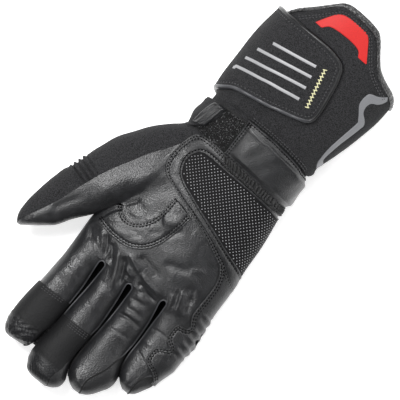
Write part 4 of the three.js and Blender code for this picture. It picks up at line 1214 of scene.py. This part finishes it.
def finish_of(name):
    """The named finish, made on first use from the colours in the panel."""
    if name not in FINISHES:
        colours = bpy.context.scene.glove_colours
        leather, cloth = tuple(colours.leather), tuple(colours.cloth)
        makers = {
            "leather": lambda: leather_finish("Goat leather", leather, 0.34, specular=0.5),
            "panel_leather": lambda: leather_finish("Panel leather", tuple(c * 0.9 for c in leather), 0.34, grain=1300, crease=0.5, specular=0.5),
            "index_tip": lambda: tip_painted_gleam_finish("Index tip leather", leather, -0.147),
            "middle_tip": lambda: tip_painted_gleam_finish("Middle tip leather", leather, -0.159),
            "side_leather_slit_shade": lambda: gusset_slit_shade_finish(leather),
            "cloth": lambda: cloth_finish("Softshell", cloth),
            "gather": lambda: cloth_finish("Gathered cloth", tuple(c * 0.3 for c in cloth), 0.42, sheen=0.03, specular=0.6),
            "grip": lambda: plain_finish("Grip base", tuple(c * 0.4 for c in leather), 0.7, specular=0.15, noise=1500, depth=0.0004),
            "dots": lambda: plain_finish("Grip dots", tuple(colours.dots), 0.4),
            "loop": lambda: plain_finish("Loop base", tuple(c * 0.15 for c in cloth), 0.75, noise=1800, depth=0.001),
            "pile": lambda: speckled_finish("Loop pile", tuple(c * 0.1 for c in cloth), (0.24, 0.24, 0.25), 0.6),
            "binding": lambda: crinkled_glint_finish("Coated binding", tuple(colours.binding), 0.24),
            "piping": lambda: piping_lit_side_finish(leather),
            # A welt colour lightened 3.6 times as a painted highlight.
            "welt_highlight": lambda: plain_finish("Welt", tuple(c * 3.6 for c in leather), 0.4, specular=0.6, noise=700, depth=0.0004),
            "seam": lambda: seam_highlight_finish(leather),
            "tape": lambda: plain_finish("Reflective tape", tuple(colours.tape), 0.42, noise=2600, depth=0.0001),
            "stripe": lambda: plain_finish("Grey stripe", tuple(colours.stripe), 0.5, noise=2600, depth=0.0001),
            "red": lambda: plain_finish("Red patch", tuple(colours.red), 0.55, specular=0.3, noise=2200, depth=0.00015),
            "thread": lambda: plain_finish("Black thread", (0.0015, 0.0015, 0.0016), 0.8, specular=0.08, noise=4000),
            "cuff_thread": lambda: plain_finish("Grey thread", (0.03, 0.03, 0.032), 0.5, noise=4000),
            "yellow_thread": lambda: plain_finish("Yellow thread", (0.62, 0.6, 0.36), 0.6, noise=4000),
        }
        FINISHES[name] = makers[name]()
    return FINISHES[name]


# ---- settings ----
class GloveSizes(bpy.types.PropertyGroup):
    """Sizes that a user would change."""

    pitch: bpy.props.FloatProperty(name="Mesh pitch", description="Distance between mesh points, in millimetres", default=0.85, min=0.5, max=4)
    stitch: bpy.props.FloatProperty(name="Stitch pitch", description="Distance between stitches, in millimetres", default=2.4, min=1.5, max=6)
    folds: bpy.props.FloatProperty(name="Folds", description="How deep the leather's folds are, 1 as modelled", default=1, min=0, max=2, subtype="FACTOR")


class GloveColours(bpy.types.PropertyGroup):
    """Colours of the glove's materials."""

    leather: bpy.props.FloatVectorProperty(name="Leather", description="Black goat leather", subtype="COLOR", default=(0.0105, 0.0107, 0.0118), min=0, max=1)
    cloth: bpy.props.FloatVectorProperty(name="Cloth", description="Black softshell", subtype="COLOR", default=(0.02, 0.02, 0.0212), min=0, max=1)
    dots: bpy.props.FloatVectorProperty(name="Grip dots", description="Dots of the grip patch", subtype="COLOR", default=(0.36, 0.36, 0.37), min=0, max=1)
    binding: bpy.props.FloatVectorProperty(name="Binding", description="Coated binding of the rim", subtype="COLOR", default=(0.016, 0.0163, 0.0173), min=0, max=1)
    tape: bpy.props.FloatVectorProperty(name="Tape", description="Reflective lines", subtype="COLOR", default=(0.27, 0.27, 0.28), min=0, max=1)
    stripe: bpy.props.FloatVectorProperty(name="Stripe", description="Grey side stripe", subtype="COLOR", default=(0.16, 0.163, 0.173), min=0, max=1)
    red: bpy.props.FloatVectorProperty(name="Red", description="Red patch", subtype="COLOR", default=(0.44, 0.01, 0.0085), min=0, max=1)


class GLOVE_OT_hand(bpy.types.Operator):
    """Builds the palm, fingers, thumb, back and the gussets between the fingers"""

    bl_idname = "glove.hand"
    bl_label = "Hand"

    def execute(self, context):
        build_hand(context.scene.glove_sizes.pitch)
        return {"FINISHED"}


def weld_slits(groups, rows):
    """Moves the edges of neighbouring groups onto their mean above the slits, so that they
    merge."""
    for n in range(3):
        shared = rows >= SLIT_TOPS[n] - 1e-6
        count = int(shared.sum())
        mean = (groups[n][:count, -1] + groups[n + 1][:count, 0]) / 2
        groups[n][:count, -1] = mean
        groups[n + 1][:count, 0] = mean


def build_hand(pitch):
    front, back, rows = hand_grids(pitch)
    thumb, thumb_rows = thumb_grids(pitch)
    depth = bpy.context.scene.glove_sizes.folds
    leather_thumb, cloth_thumb, back_thumb = thumb
    common = rows_between(HAND_END, COMMON_END, pitch, dense=(CROTCH_Y, *SLIT_TOPS))
    for grid in front + [leather_thumb]:
        grid += grid_normals(grid) * (relief(grid[..., 0], grid[..., 1]) * depth)[..., None]
    weld_slits(front, common)
    weld_slits(back, common)
    shared = int((common >= CROTCH_Y - 1e-6).sum())
    for own, other in ((leather_thumb, front[0]), (back_thumb, back[0])):
        mean = (own[:shared, -1] + other[:shared, 0]) / 2
        own[:shared, -1] = mean
        other[:shared, 0] = mean
    rib = cloth_thumb
    turn = rib[..., 1] + 0.33 * (rib[..., 0] + 85)
    ridge = (2 * np.abs(np.cos(np.pi * (turn + 27) / 4.2)) ** 0.8 - 1) * ease(-22.5, -25.5, turn) * ease(-41, -38, turn) * ease(-67, -71, rib[..., 0])
    rib += grid_normals(rib) * (1.9 * ridge)[..., None]
    mean = (leather_thumb[:, 0] + cloth_thumb[:, -1]) / 2
    leather_thumb[:, 0] = mean
    cloth_thumb[:, -1] = mean
    back_thumb[:, 0] = cloth_thumb[:, 0]
    add_piece("hand_leather", [(g, False, False) for g in front + [leather_thumb]], finish_of("leather"), ("palm_leather", "thumb_leather"))
    add_piece("thumb_cloth", [(cloth_thumb, False, False)], finish_of("cloth"), ("thumb_textile",))
    add_piece("hand_back", [(g, False, True) for g in back + [back_thumb]], finish_of("cloth"), ("back_textile",))
    walls = fourchette_grids(pitch)
    names = ("fourchette_index_middle", "fourchette_middle_ring", "fourchette_ring_little")
    for n, cad in enumerate(names):
        add_piece(f"gusset_{n + 1}", walls[n], finish_of("side_leather_slit_shade"), (cad,))
    welts = [(tube(line, 0.55, 8), True, False) for line in welt_lines()]
    # The welts take the seam finish, whose grey along the slits is a painted highlight.
    add_piece("panel_welts", welts, finish_of("seam"))
    add_tip_patches(front, rows)


def add_tip_patches(front, rows):
    """The index and middle fingertip patches: the front's own grid from the seam to the tip, raised
    along its normals with a rolled upper edge."""
    for number, (name, cad, seam) in enumerate((("index_tip_patch", "index_tip", -116.4), ("middle_tip_patch", "middle_tip", -124.6))):
        grid = front[number]
        keep = rows[number] < seam
        normals = grid_normals(grid)[keep]
        part = grid[keep]
        down = (seam - rows[number][keep])[:, None]
        tip_fade = ease(0, 3, rows[number][keep] - TIPS[number])[:, None]
        lift = 0.85 * np.sqrt(np.clip(down / 1.4, 0, 1) * (2 - np.clip(down / 1.4, 0, 1))) + 0.05
        crumple = TIP_TEXTURE[number](part[..., 0], part[..., 1])
        raised = part + normals * ((lift + crumple) * (0.25 + 0.75 * tip_fade))[..., None]
        add_piece(name, [(raised, False, False)], finish_of(cad), (cad,))


def index_crumple(x, y):
    """Close slanting wrinkles near the index finger's end, as crossed waves that fade in below y
    -146."""
    zone = ease(-144, -149, y) * ease(-161, -156, y) * ease(-56, -50, x) * ease(-31, -36, x)
    waves = np.sin(1.7 * x + 1.1 * np.sin(1.1 * y)) * np.sin(1.8 * y + 0.7 * x)
    return 0.8 * zone * waves + 0.14 * np.sin(0.45 * x + 1.4 * y) * ease(-140, -146, y)


def middle_crumple(x, y):
    """Rows of small pits near the middle finger's end, as crossed waves that fade in below y
    -158."""
    zone = ease(-156, -160, y) * ease(-173, -170, y) * ease(-25, -22, x) * ease(-6, -9, x)
    return 0.6 * zone * np.sin(2.6 * x) * np.sin(2.6 * y + 0.3 * x) + 0.1 * np.sin(1.1 * y + 0.2 * x) * ease(-150, -157, y)


TIP_TEXTURE = (index_crumple, middle_crumple)


def tube(line, radius, sides):
    """A round tube along a line of points: rings square to the run, with the axis that is nearest
    to upright as the start."""
    line = np.asarray(line, float)
    run = np.gradient(line, axis=0)
    run /= np.maximum(np.linalg.norm(run, axis=1, keepdims=True), 1e-9)
    side = np.cross(run, [0, 0, 1.0])
    side /= np.maximum(np.linalg.norm(side, axis=1, keepdims=True), 1e-9)
    up = np.cross(side, run)
    turn = np.linspace(0, 2 * np.pi, sides, endpoint=False)
    return line[:, None] + radius * (np.cos(turn)[None, :, None] * side[:, None] + np.sin(turn)[None, :, None] * up[:, None])


# ---- patches of the palm ----
class GLOVE_OT_palm_patches(bpy.types.Operator):
    """Builds the thumb saddle, heel frame, grip patch and side guard"""

    bl_idname = "glove.palm_patches"
    bl_label = "Palm patches"

    def execute(self, context):
        build_palm_patches()
        return {"FINISHED"}


GRIP_EDGE = [
    (-3, 28.9), (-9, 29.3), (-17, 29.4), (-22, 27), (-25, 22), (-25.8, 17), (-25, 12.6),
    (-22, 6.6), (-15, 2), (-5, -2), (5, -6),
    (15, -9.5), (25, -13), (35, -17), (45, -20.5), (53, -23), (60, -25.4), (68, -27),
]


def build_palm_patches():
    leather = finish_of("panel_leather")
    saddle, _ = plate_grid(SADDLE, 0.0, 1.0, 1.2, 0.9, shape=saddle_shape)
    add_piece("thumb_saddle_leather", [(saddle, False, False)], finish_of("leather"), ("thumb_saddle",))
    grip, outline = plate_grid(GRIP_SIDES, 0.2, 1.0, 0.9, 0.8, shape=lambda w, y, d: 0.12 * np.sin(2 * np.pi * y / 1.75) * ease(1, 2, d))
    add_piece("grip_patch", [(grip, False, False)], finish_of("grip"), ("heel_grip",))
    add_piece("heel_frame_leather", [(heel_frame_grid(), False, False)], leather, ("heel_frame",))
    lip = smooth_path(GRIP_EDGE, 0.8)
    top = smooth_path(GRIP_SIDES[1], 0.8)
    lips = [(round_band(lip, 1.3, 0.75, 1.0), False, False), (round_band(top, 1.2, 0.7, 1.0), False, False)]
    add_piece("grip_lip", lips, leather)
    add_piece("side_guard_leather", [(guard_grid(), False, False)], leather, ("side_guard",))
    add_piece("grip_dots", [(grip_dots(outline), "raw", False)], finish_of("dots"), weld=False)


def saddle_shape(w, y, d):
    """Two stitch channels inside the saddle's lower edge, and its long soft folds."""
    low = smooth_path(SADDLE[0], 0.8)
    near, _ = distance_to_path(w, y, low)
    arc, _ = distance_to_path(w, y, smooth_path(SADDLE[1], 0.8))
    hidden = sum(1 - ease(0.4, 3.4, distance_to_path(w, y, smooth_path(side, 0.8))[0]) for side in SADDLE_HIDDEN)
    return channels(near, (1.6, 3.4)) + channels(arc, (1.2, 2.9), 0.3) + 0.4 * ease(0, 8, near) * ease(0, 8, arc) - 1.3 * hidden


def grip_dots(outline):
    """Light specks on the grip: rows 1.7 mm apart, specks 3 mm apart and shifted by half in every
    other row, at 45 degrees to either side by turns."""
    rows = np.arange(-27, 30, 1.66)
    columns = np.arange(-28, 70, 3.02)
    w, y = np.meshgrid(columns, rows)
    w = w + (np.arange(len(rows)) % 2)[:, None] * 1.51
    angle = np.where((np.arange(len(rows)) % 2)[:, None] == 0, math.pi / 4, -math.pi / 4) + np.zeros(w.shape)
    w, y, angle = w.ravel(), y.ravel() - 0.02 * (w.ravel() + 20), angle.ravel()
    distance, _ = distance_to_path(w, y, outline)
    keep = inside(w, y, outline) & (distance > 1.7)
    return capsules(w[keep], y[keep], angle[keep], 1.0, 0.29, np.full(int(keep.sum()), 1.15), bow=1.0)


def inside(x, y, outline):
    """Whether each point is within a closed outline, by counting the edges crossed on the way
    out."""
    a, b = outline, np.roll(outline, -1, axis=0)
    count = np.zeros(np.shape(x), int)
    for (x0, y0), (x1, y1) in zip(a, b):
        if y0 == y1:
            continue
        crosses = ((y0 > y) != (y1 > y)) & (x < (x1 - x0) * (y - y0) / (y1 - y0) + x0)
        count += crosses
    return count % 2 == 1


def heel_frame_grid():
    """The frame round the grip: a strip ruled from its outer edge to the grip's edge, padded
    between stitch channels."""
    t = np.linspace(0, 1, 210)

    def at(path):
        steps = np.r_[0, np.cumsum(np.linalg.norm(np.diff(path, axis=0), axis=1))]
        return np.stack([np.interp(t * steps[-1], steps, path[:, n]) for n in (0, 1)], axis=1)

    a, b = at(smooth_path(HEEL_OUTER, 0.9)), at(smooth_path(GRIP_EDGE, 0.9))
    s = edge_spaced(11, 0.7)
    wy = a[:, None] * (1 - s)[None, :, None] + b[:, None] * s[None, :, None]
    width = np.linalg.norm(b - a, axis=1)[:, None]
    from_outer, from_inner = s[None, :] * width, (1 - s)[None, :] * width
    distance = np.minimum(from_outer, from_inner)
    height = rolled(distance, 0.0, 1.2, 1.0) + channels(from_outer, (1.5, 3.2)) + channels(from_inner, (1.3,), 0.35)
    height = height + 0.5 * np.sin(np.pi * np.clip((s[None, :] * width - 3) / np.maximum(width - 4.5, 1), 0, 1))
    top = skin(wy[..., 0], wy[..., 1], height)
    foot = skin(wy[..., 0], wy[..., 1], np.full(height.shape, -0.3))
    return np.concatenate([foot[:, :1], top, foot[:, -1:]], axis=1)


def guard_grid():
    """The side guard: from its zigzag edge on the palm round the hand's side, row by row, with
    stretch pleats at the side."""
    edge = smooth_path(GUARD_EDGE, 0.5)
    y = np.linspace(-25, -126, 260)
    order = np.argsort(-edge[:, 1], kind="stable")
    edge_w = np.interp(-y, -edge[order, 1], edge[order, 0])
    s = edge_spaced(36, 0.8)
    w = edge_w[:, None] * (1 - s)[None, :] + 82.0 * s[None, :]
    yy = np.broadcast_to(y[:, None], w.shape)
    distance, _ = distance_to_path(w, yy, edge)
    pleats = np.sin(2 * np.pi * (yy + 60 + 0.25 * (w - 58)) / 6.4) * ease(-60, -64, yy) * ease(-102, -97, yy) * ease(51, 57, w) * ease(76, 70, w)
    height = rolled(distance, 0.0, 1.3, 0.8) + channels(distance, (1.6, 3.2)) + 0.5 * pleats
    top = skin(w, yy, height)
    foot = skin(w, yy, np.full(height.shape, -0.3))
    return np.concatenate([foot[:, :1], top, foot[:, -1:]], axis=1)


# ---- wrist ----
class GLOVE_OT_wrist(bpy.types.Operator):
    """Builds the gathered band, the wrist leather, the loop patch and the wrist strap with its
    pull"""

    bl_idname = "glove.wrist"
    bl_label = "Wrist"

    def execute(self, context):
        build_wrist()
        return {"FINISHED"}


def build_wrist():
    gather, _ = plate_grid(GATHER, 0.2, 1.1, 1.2, 0.55, shape=gather_shape)
    add_piece("gathered_band", [(gather, False, False)], finish_of("gather"), ("wrist_gather",))
    leather, _ = plate_grid(WRIST_LEATHER, 0.2, 1.6, 1.2, 0.9, shape=wrist_leather_shape)
    add_piece("wrist_leather_panel", [(leather, False, False)], finish_of("panel_leather"), ("wrist_leather",))
    loop, outline = plate_grid(LOOP_PATCH, 0.0, 0.6, 0.6)
    add_piece("loop_patch_base", [(loop, False, False)], finish_of("loop"), ("loop_patch",))
    add_piece("loop_pile", [(loop_pile(outline), "raw", False)], finish_of("pile"), weld=False)
    strap, _ = plate_grid(WRIST_STRAP, 1.4, 1.8, 1.2, 0.9, shape=lambda w, y, d: channels(d, (1.6,), 0.3) + 0.3 * np.sin(0.5 * y + 0.2 * w) * ease(0, 3, d))
    add_piece("wrist_strap_cloth", [(strap, False, False)], finish_of("cloth"), ("wrist_strap",))
    pull, _ = plate_grid(STRAP_PULL, 3.0, 1.9, 1.2, 0.5, shape=pull_ridges)
    add_piece("strap_pull_tab", [(pull, False, False)], finish_of("panel_leather"), ("strap_pull",))


def pull_ridges(w, y, d):
    """Three long ridges of the folded pull tab, running a little across the strap's end."""
    x = skin(w, y)[..., 0]
    return 0.45 * np.sin(2 * np.pi * (0.96 * x - 0.27 * y) / 3.2) * ease(0.4, 1.8, d)


def gather_shape(w, y, d):
    """Upright gathers as a wave with a slowly changing pitch, pinched by two rows of stitches."""
    waves = 1.15 * np.sin(2 * np.pi * (w + 0.7 * np.sin(w * 0.37) + 0.45 * (y - 34) + 0.5 * np.sin(0.9 * y)) / 2.7)
    return waves * ease(0, 1.2, d) + channels(d, (1.8,), 0.5)


def wrist_leather_shape(w, y, d):
    """Stitch channels along the upper and left edges, broad soft folds, and a swell that rises as a
    quarter sine from the left edge."""
    top, _ = distance_to_path(w, y, smooth_path(WRIST_LEATHER[1], 0.9))
    left = w + 7.0
    folds = 0.25 * np.sin(0.21 * w + 0.16 * y) + 0.12 * np.sin(0.5 * w - 0.28 * y + 0.6)
    swell = 3.0 * np.sin(np.pi / 2 * np.clip((left - 1) / 15, 0, 1)) * ease(1, 5, d)
    return channels(top, (1.3, 3.0), 0.4) + channels(left, (1.4, 3.0), 0.4) + folds * ease(2, 8, d) + swell


def loop_pile(outline):
    """The loop patch's pile: short bowed loops strewn with a fixed seed, each turned its own
    way."""
    dice = np.random.default_rng(7)
    w, y = dice.uniform(-34, -7, 5200), dice.uniform(37, 65, 5200)
    distance, _ = distance_to_path(w, y, outline)
    keep = inside(w, y, outline) & (distance > 0.7)
    count = int(keep.sum())
    height = 0.75 + 0.5 * dice.random(count)
    return capsules(w[keep], y[keep], dice.uniform(0, math.pi, count), 1.1, 0.12, height, bow=3.0, sides=4)


# ---- cuff ----
class GLOVE_OT_cuff(bpy.types.Operator):
    """Builds the cuff, its binding, the cuff strap, the reflective lines, the red patch and the
    side stripe"""

    bl_idname = "glove.cuff"
    bl_label = "Cuff"

    def execute(self, context):
        build_cuff()
        return {"FINISHED"}


def rim_line(turn, grow):
    """Where the section at a turn meets the rim's outline, found by putting the rim's y for x back
    into the section."""
    y = np.full(turn.shape, 140.0)
    for _ in range(12):
        x, _ = ring_point(turn, y, grow)
        y = along(RIM, x)
    return y


def build_cuff():
    turn = np.linspace(0, 2 * np.pi, 300, endpoint=False)
    rim = rim_line(turn, 0.7)
    foot_x, _ = ring_point(turn, np.full(turn.shape, 66.0), 0)
    foot = along(CUFF_FOOT, foot_x)
    share = np.r_[0, 0.004, 0.01, 0.02, np.linspace(0.03, 1, 110)][:, None]
    y = foot[None, :] * (1 - share) + rim[None, :] * share
    angle = np.broadcast_to(turn[None, :], y.shape)
    x0, _ = ring_point(angle, y, 0)
    roll = 0.9 * np.sqrt(np.clip(share * 40, 0, 1) * (2 - np.clip(share * 40, 0, 1)))
    grow = roll - 0.2 + cuff_ripple(x0, y)
    x, z = ring_point(angle, y, grow)
    outer = np.stack([x, y, z], axis=-1)
    foot_in, foot_z = ring_point(turn, foot, -0.6)
    under = np.stack([foot_in, foot, foot_z], axis=-1)[None]
    outer = np.concatenate([under, outer], axis=0)
    share = np.linspace(1, 0, 50)[:, None]
    y_in = 34 * (1 - share) + rim[None, :] * share
    x, z = ring_point(np.broadcast_to(turn[None, :], y_in.shape), y_in, -1.7)
    inner = np.stack([x, y_in, z], axis=-1)
    add_piece("cuff_cloth", [(np.concatenate([outer, inner], axis=0), True, False)], finish_of("cloth"), ("cuff_textile",))
    wrist_y = np.linspace(30, 70, 44)[:, None]
    x, z = ring_point(np.broadcast_to(turn[None, :], (44, 300)), np.broadcast_to(wrist_y, (44, 300)), -0.25)
    add_piece("wrist_cloth", [(np.stack([x, np.broadcast_to(wrist_y, x.shape), z], axis=-1), True, False)], finish_of("cloth"))
    build_binding(turn, rim)
    strap, _ = plate_grid(CUFF_STRAP, 0.6, 3.0, 1.6, 1.0, shape=lambda w, y, d: -0.45 * np.exp(-(((d - 4.2) / 0.6) ** 2)))
    add_piece("cuff_strap_cloth", [(strap, False, False)], finish_of("cloth"), ("cuff_strap",))
    low, high, _, right = (smooth_path(side, 0.8) for side in CUFF_STRAP)
    edge = resample(np.vstack([low, right[1:], high[::-1][1:]]), 0.9)
    inset = inset_path(edge, 1.3)
    add_piece("cuff_strap_piping", [(round_band(inset, 3.3, 3.1, 0.9), False, False)], finish_of("piping"), ("cuff_strap_binding",))
    for n, path in enumerate(LINES):
        line = smooth_path(path, 1.0) if len(path) > 2 else resample(np.asarray(path, float), 1.0)
        grid = band_grid(line, [-1.1, -1.06, -0.96, 0, 0.96, 1.06, 1.1], [3.4, 3.72, 3.8, 3.82, 3.8, 3.72, 3.4])
        add_piece(f"tape_{n + 1}", [(grid, False, False)], finish_of("tape"), (f"reflective_line_{n + 1}",))
    red, _ = plate_grid([*RED_PATCH, *([RED_PATCH[0][n], RED_PATCH[1][n]] for n in (0, -1))], 0.0, 0.4, 0.3, 1.0, sharp=True)
    add_piece("red_cloth_patch", [(red, False, False)], finish_of("red"), ("red_patch",))
    right, left = (w_at(side) for side in STRIPE)
    stripe, _ = plate_grid([right, left, [right[0], left[0]], [right[-1], left[-1]]], 0.0, 0.35, 0.3, 1.0)
    add_piece("side_tape", [(stripe, False, False)], finish_of("stripe"), ("side_stripe",))


def inset_path(path, distance):
    """The path moved to its left by a distance."""
    run = np.gradient(path, axis=0)
    run /= np.maximum(np.linalg.norm(run, axis=1, keepdims=True), 1e-9)
    return path + np.stack([-run[:, 1], run[:, 0]], axis=1) * distance


def build_binding(turn, rim):
    """The rim's binding: a rounded U in section that grips the cuff's edge, with crinkles across
    it."""
    profile = [(0.9, -3.7), (1.6, -3.5), (1.8, -2.6), (1.75, -1.4), (1.45, -0.3), (0.6, 0.7), (-0.5, 0.9), (-1.6, 0.6), (-2.4, -0.4), (-2.7, -2), (-2.6, -3.5), (-2.2, -3.7)]
    grids = []
    wobble = 0.16 * np.sin(turn * 91) + 0.12 * np.sin(turn * 143 + 1) + 0.1 * np.sin(turn * 57 + 2)
    for grow, rise in profile:
        y = rim + rise
        outward = grow + (wobble if grow > 1 else 0)
        x, z = ring_point(turn, y, outward)
        grids.append(np.stack([x, y, z], axis=-1))
    add_piece("rim_binding", [(np.stack(grids, axis=0), True, False)], finish_of("binding"), ("cuff_binding",))


# ---- stitching ----
class GLOVE_OT_stitching(bpy.types.Operator):
    """Builds the stitch rows of the palm, wrist and cuff"""

    bl_idname = "glove.stitching"
    bl_label = "Stitching"

    def execute(self, context):
        build_stitching(context.scene.glove_sizes.stitch)
        return {"FINISHED"}


def build_stitching(pitch):
    saddle_low = smooth_path(SADDLE[0], 0.8)
    crotch = smooth_path(SADDLE[1], 0.8)
    outer = smooth_path(HEEL_OUTER, 0.8)
    edge = smooth_path(GUARD_EDGE, 0.6)
    grip_edge = smooth_path(GRIP_EDGE, 0.8)
    palm = [(inset_path(saddle_low, 1.6), 0.75), (inset_path(saddle_low, 3.4), 0.85)]
    palm += [(inset_path(crotch, -1.2), 0.9), (inset_path(crotch, -2.9), 1.0)]
    palm += [(inset_path(outer, 1.5), 0.95), (inset_path(outer, 3.2), 1.1), (inset_path(grip_edge, -1.3), 1.0)]
    palm += [(inset_path(edge, 1.6), 1.0), (inset_path(edge, 3.2), 1.0)]
    top = smooth_path(WRIST_LEATHER[1], 0.9)
    left = resample(np.array([(-7.0, 38.5), (-7.2, 66.5)]), 0.9)
    palm += [(inset_path(top, -1.3), 1.5), (inset_path(top, -3.0), 1.6), (inset_path(left, -1.4), 1.5), (inset_path(left, -3.0), 1.6)]
    index_seam = smooth_path([(-51, -117.5), (-46, -117.6), (-40, -117.2), (-33, -116.6)], 0.8)
    middle_seam = smooth_path([(-20, -125.6), (-14, -125.8), (-8, -125.6), (-3.6, -125.2)], 0.8)
    tips = [(index_seam + [0, -dy], 0.95) for dy in (1.2, 2.8)] + [(middle_seam + [0, -dy], 0.95) for dy in (1.2, 2.8, 4.4)]
    add_piece("tip_stitches", [(stitch_raw(tips, pitch * 0.9, radius=0.34), "raw", False)], finish_of("cuff_thread"), weld=False)
    add_piece("leather_stitches", [(stitch_raw(palm, pitch), "raw", False)], finish_of("thread"), weld=False)
    low, high, _, right = (smooth_path(side, 0.8) for side in CUFF_STRAP)
    strap_edge = resample(np.vstack([low, right[1:], high[::-1][1:]]), 0.9)
    foot = np.array([(x, along(CUFF_FOOT, x)) for x in np.arange(-6, 49, 1.0)])
    rows = [(inset_path(strap_edge, 4.2), 3.2), (foot + [0, 1.2], 0.5), (foot + [0, 2.9], 0.5)]
    gather_low, gather_high = smooth_path(GATHER[0], 0.8), smooth_path(GATHER[1], 0.8)
    rows += [(inset_path(gather_low, 1.8), 1.4), (inset_path(gather_high, -1.8), 1.4)]
    rim = np.array([(x, along(RIM, x)) for x in np.arange(-30, 66, 0.5)])
    rows += [(inset_path(resample(rim, 0.8), -6.0), 0.1), (inset_path(resample(rim, 0.8), -7.6), 0.1)]
    add_piece("cuff_stitches", [(stitch_raw(rows, pitch), "raw", False)], finish_of("cuff_thread"), weld=False)
    tack = np.arange(0, 29, 1.3)
    w = 12.2 + 0.21 * tack
    y = 129 - tack
    angle = np.where(np.arange(len(tack)) % 2 == 0, 0.45, -0.85)
    add_piece("tack_row", [(capsules(w + 1.2, y, angle, 3.8, 0.4, 3.7), "raw", False)], finish_of("yellow_thread"), weld=False)


# ---- stage ----
class GLOVE_OT_stage(bpy.types.Operator):
    """Builds the pale floor, the soft lights and the camera above"""

    bl_idname = "glove.stage"
    bl_label = "Stage"

    def execute(self, context):
        build_stage()
        return {"FINISHED"}


def area_light(name, place, aim, size, power, colour=(1, 1, 1)):
    """A square area light at a place in metres that faces an aim point."""
    light = bpy.data.lights.new(name, "AREA")
    light.energy, light.size, light.color = power, size, colour
    lamp = bpy.data.objects.new(name, light)
    bpy.context.scene.collection.objects.link(lamp)
    lamp.location = place
    away = np.array(place, float) - np.array(aim, float)
    lamp.rotation_euler = (math.atan2(math.hypot(away[0], away[1]), away[2]), 0, math.atan2(away[1], away[0]) + math.pi / 2)
    return lamp


def build_stage():
    side = 3.0
    mesh = bpy.data.meshes.new("floor")
    mesh.from_pydata([(-side, -side, 0), (side, -side, 0), (side, side, 0), (-side, side, 0)], [], [(0, 1, 2, 3)])
    floor = bpy.data.objects.new("floor", mesh)
    bpy.context.scene.collection.objects.link(floor)
    finish = new_finish("Pale floor", (0.93, 0.93, 0.93), 0.9, specular=0.1)
    shader = finish.node_tree.nodes["Principled BSDF"]
    shader.inputs["Emission Color"].default_value = (1, 1, 1, 1)
    shader.inputs["Emission Strength"].default_value = 0.5
    mesh.materials.append(finish)
    world = bpy.context.scene.world or bpy.data.worlds.new("World")
    bpy.context.scene.world = world
    world.use_nodes = True
    world.node_tree.nodes["Background"].inputs["Color"].default_value = (1, 1, 1, 1)
    world.node_tree.nodes["Background"].inputs["Strength"].default_value = 0.19
    bpy.context.scene.view_settings.view_transform = "Standard"
    turn = math.radians(38)
    right = np.array([math.cos(turn), math.sin(turn), 0])
    up = np.array([-math.sin(turn), math.cos(turn), 0])
    area_light("key", tuple(-0.42 * right + 0.52 * up + np.array([0, 0, 1.2])), (0, 0, 0.02), 0.52, 19.5)
    area_light("fill", tuple(0.5 * right + 0.65 * up + np.array([0, 0, 1.1])), (0, 0, 0.02), 0.6, 8)
    area_light("low", tuple(-0.56 * right - 0.4 * up + np.array([0, 0, 1.1])), (0, 0, 0.02), 0.45, 4.6)
    area_light("side", tuple(1.1 * right - 0.2 * up + np.array([0, 0, 0.6])), (0, 0, 0.02), 0.9, 7)
    camera = bpy.data.cameras.new("camera")
    camera.type = "PERSP"
    camera.lens, camera.sensor_width = 1000, 36
    eye = bpy.data.objects.new("camera", camera)
    bpy.context.scene.collection.objects.link(eye)
    eye.location = (0, 0, 0.035 + 0.288 * 1000 / 36)
    eye.rotation_euler = (0, 0, turn)
    bpy.context.scene.camera = eye


class GLOVE_PT_panel(bpy.types.Panel):
    """Lists the glove's build steps"""

    bl_label = "Glove"
    bl_idname = "GLOVE_PT_panel"
    bl_space_type = "VIEW_3D"
    bl_region_type = "UI"
    bl_category = "Glove"

    def draw(self, context):
        for group in (context.scene.glove_sizes, context.scene.glove_colours):
            for name in group.__annotations__:
                self.layout.prop(group, name)
        for operator in OPERATORS:
            self.layout.operator(operator.bl_idname)


OPERATORS = (GLOVE_OT_hand, GLOVE_OT_palm_patches, GLOVE_OT_wrist, GLOVE_OT_cuff, GLOVE_OT_stitching, GLOVE_OT_stage)
CLASSES = (GloveSizes, GloveColours, *OPERATORS, GLOVE_PT_panel)


def register():
    for item in CLASSES:
        bpy.utils.register_class(item)
    bpy.types.Scene.glove_sizes = bpy.props.PointerProperty(type=GloveSizes)
    bpy.types.Scene.glove_colours = bpy.props.PointerProperty(type=GloveColours)


def unregister():
    del bpy.types.Scene.glove_sizes
    del bpy.types.Scene.glove_colours
    for item in reversed(CLASSES):
        bpy.utils.unregister_class(item)


def main():
    register()
    make_skin()
    bpy.ops.glove.hand()
    bpy.ops.glove.palm_patches()
    bpy.ops.glove.wrist()
    bpy.ops.glove.cuff()
    bpy.ops.glove.stitching()
    bpy.ops.glove.stage()


if __name__ == "__main__":
    main()
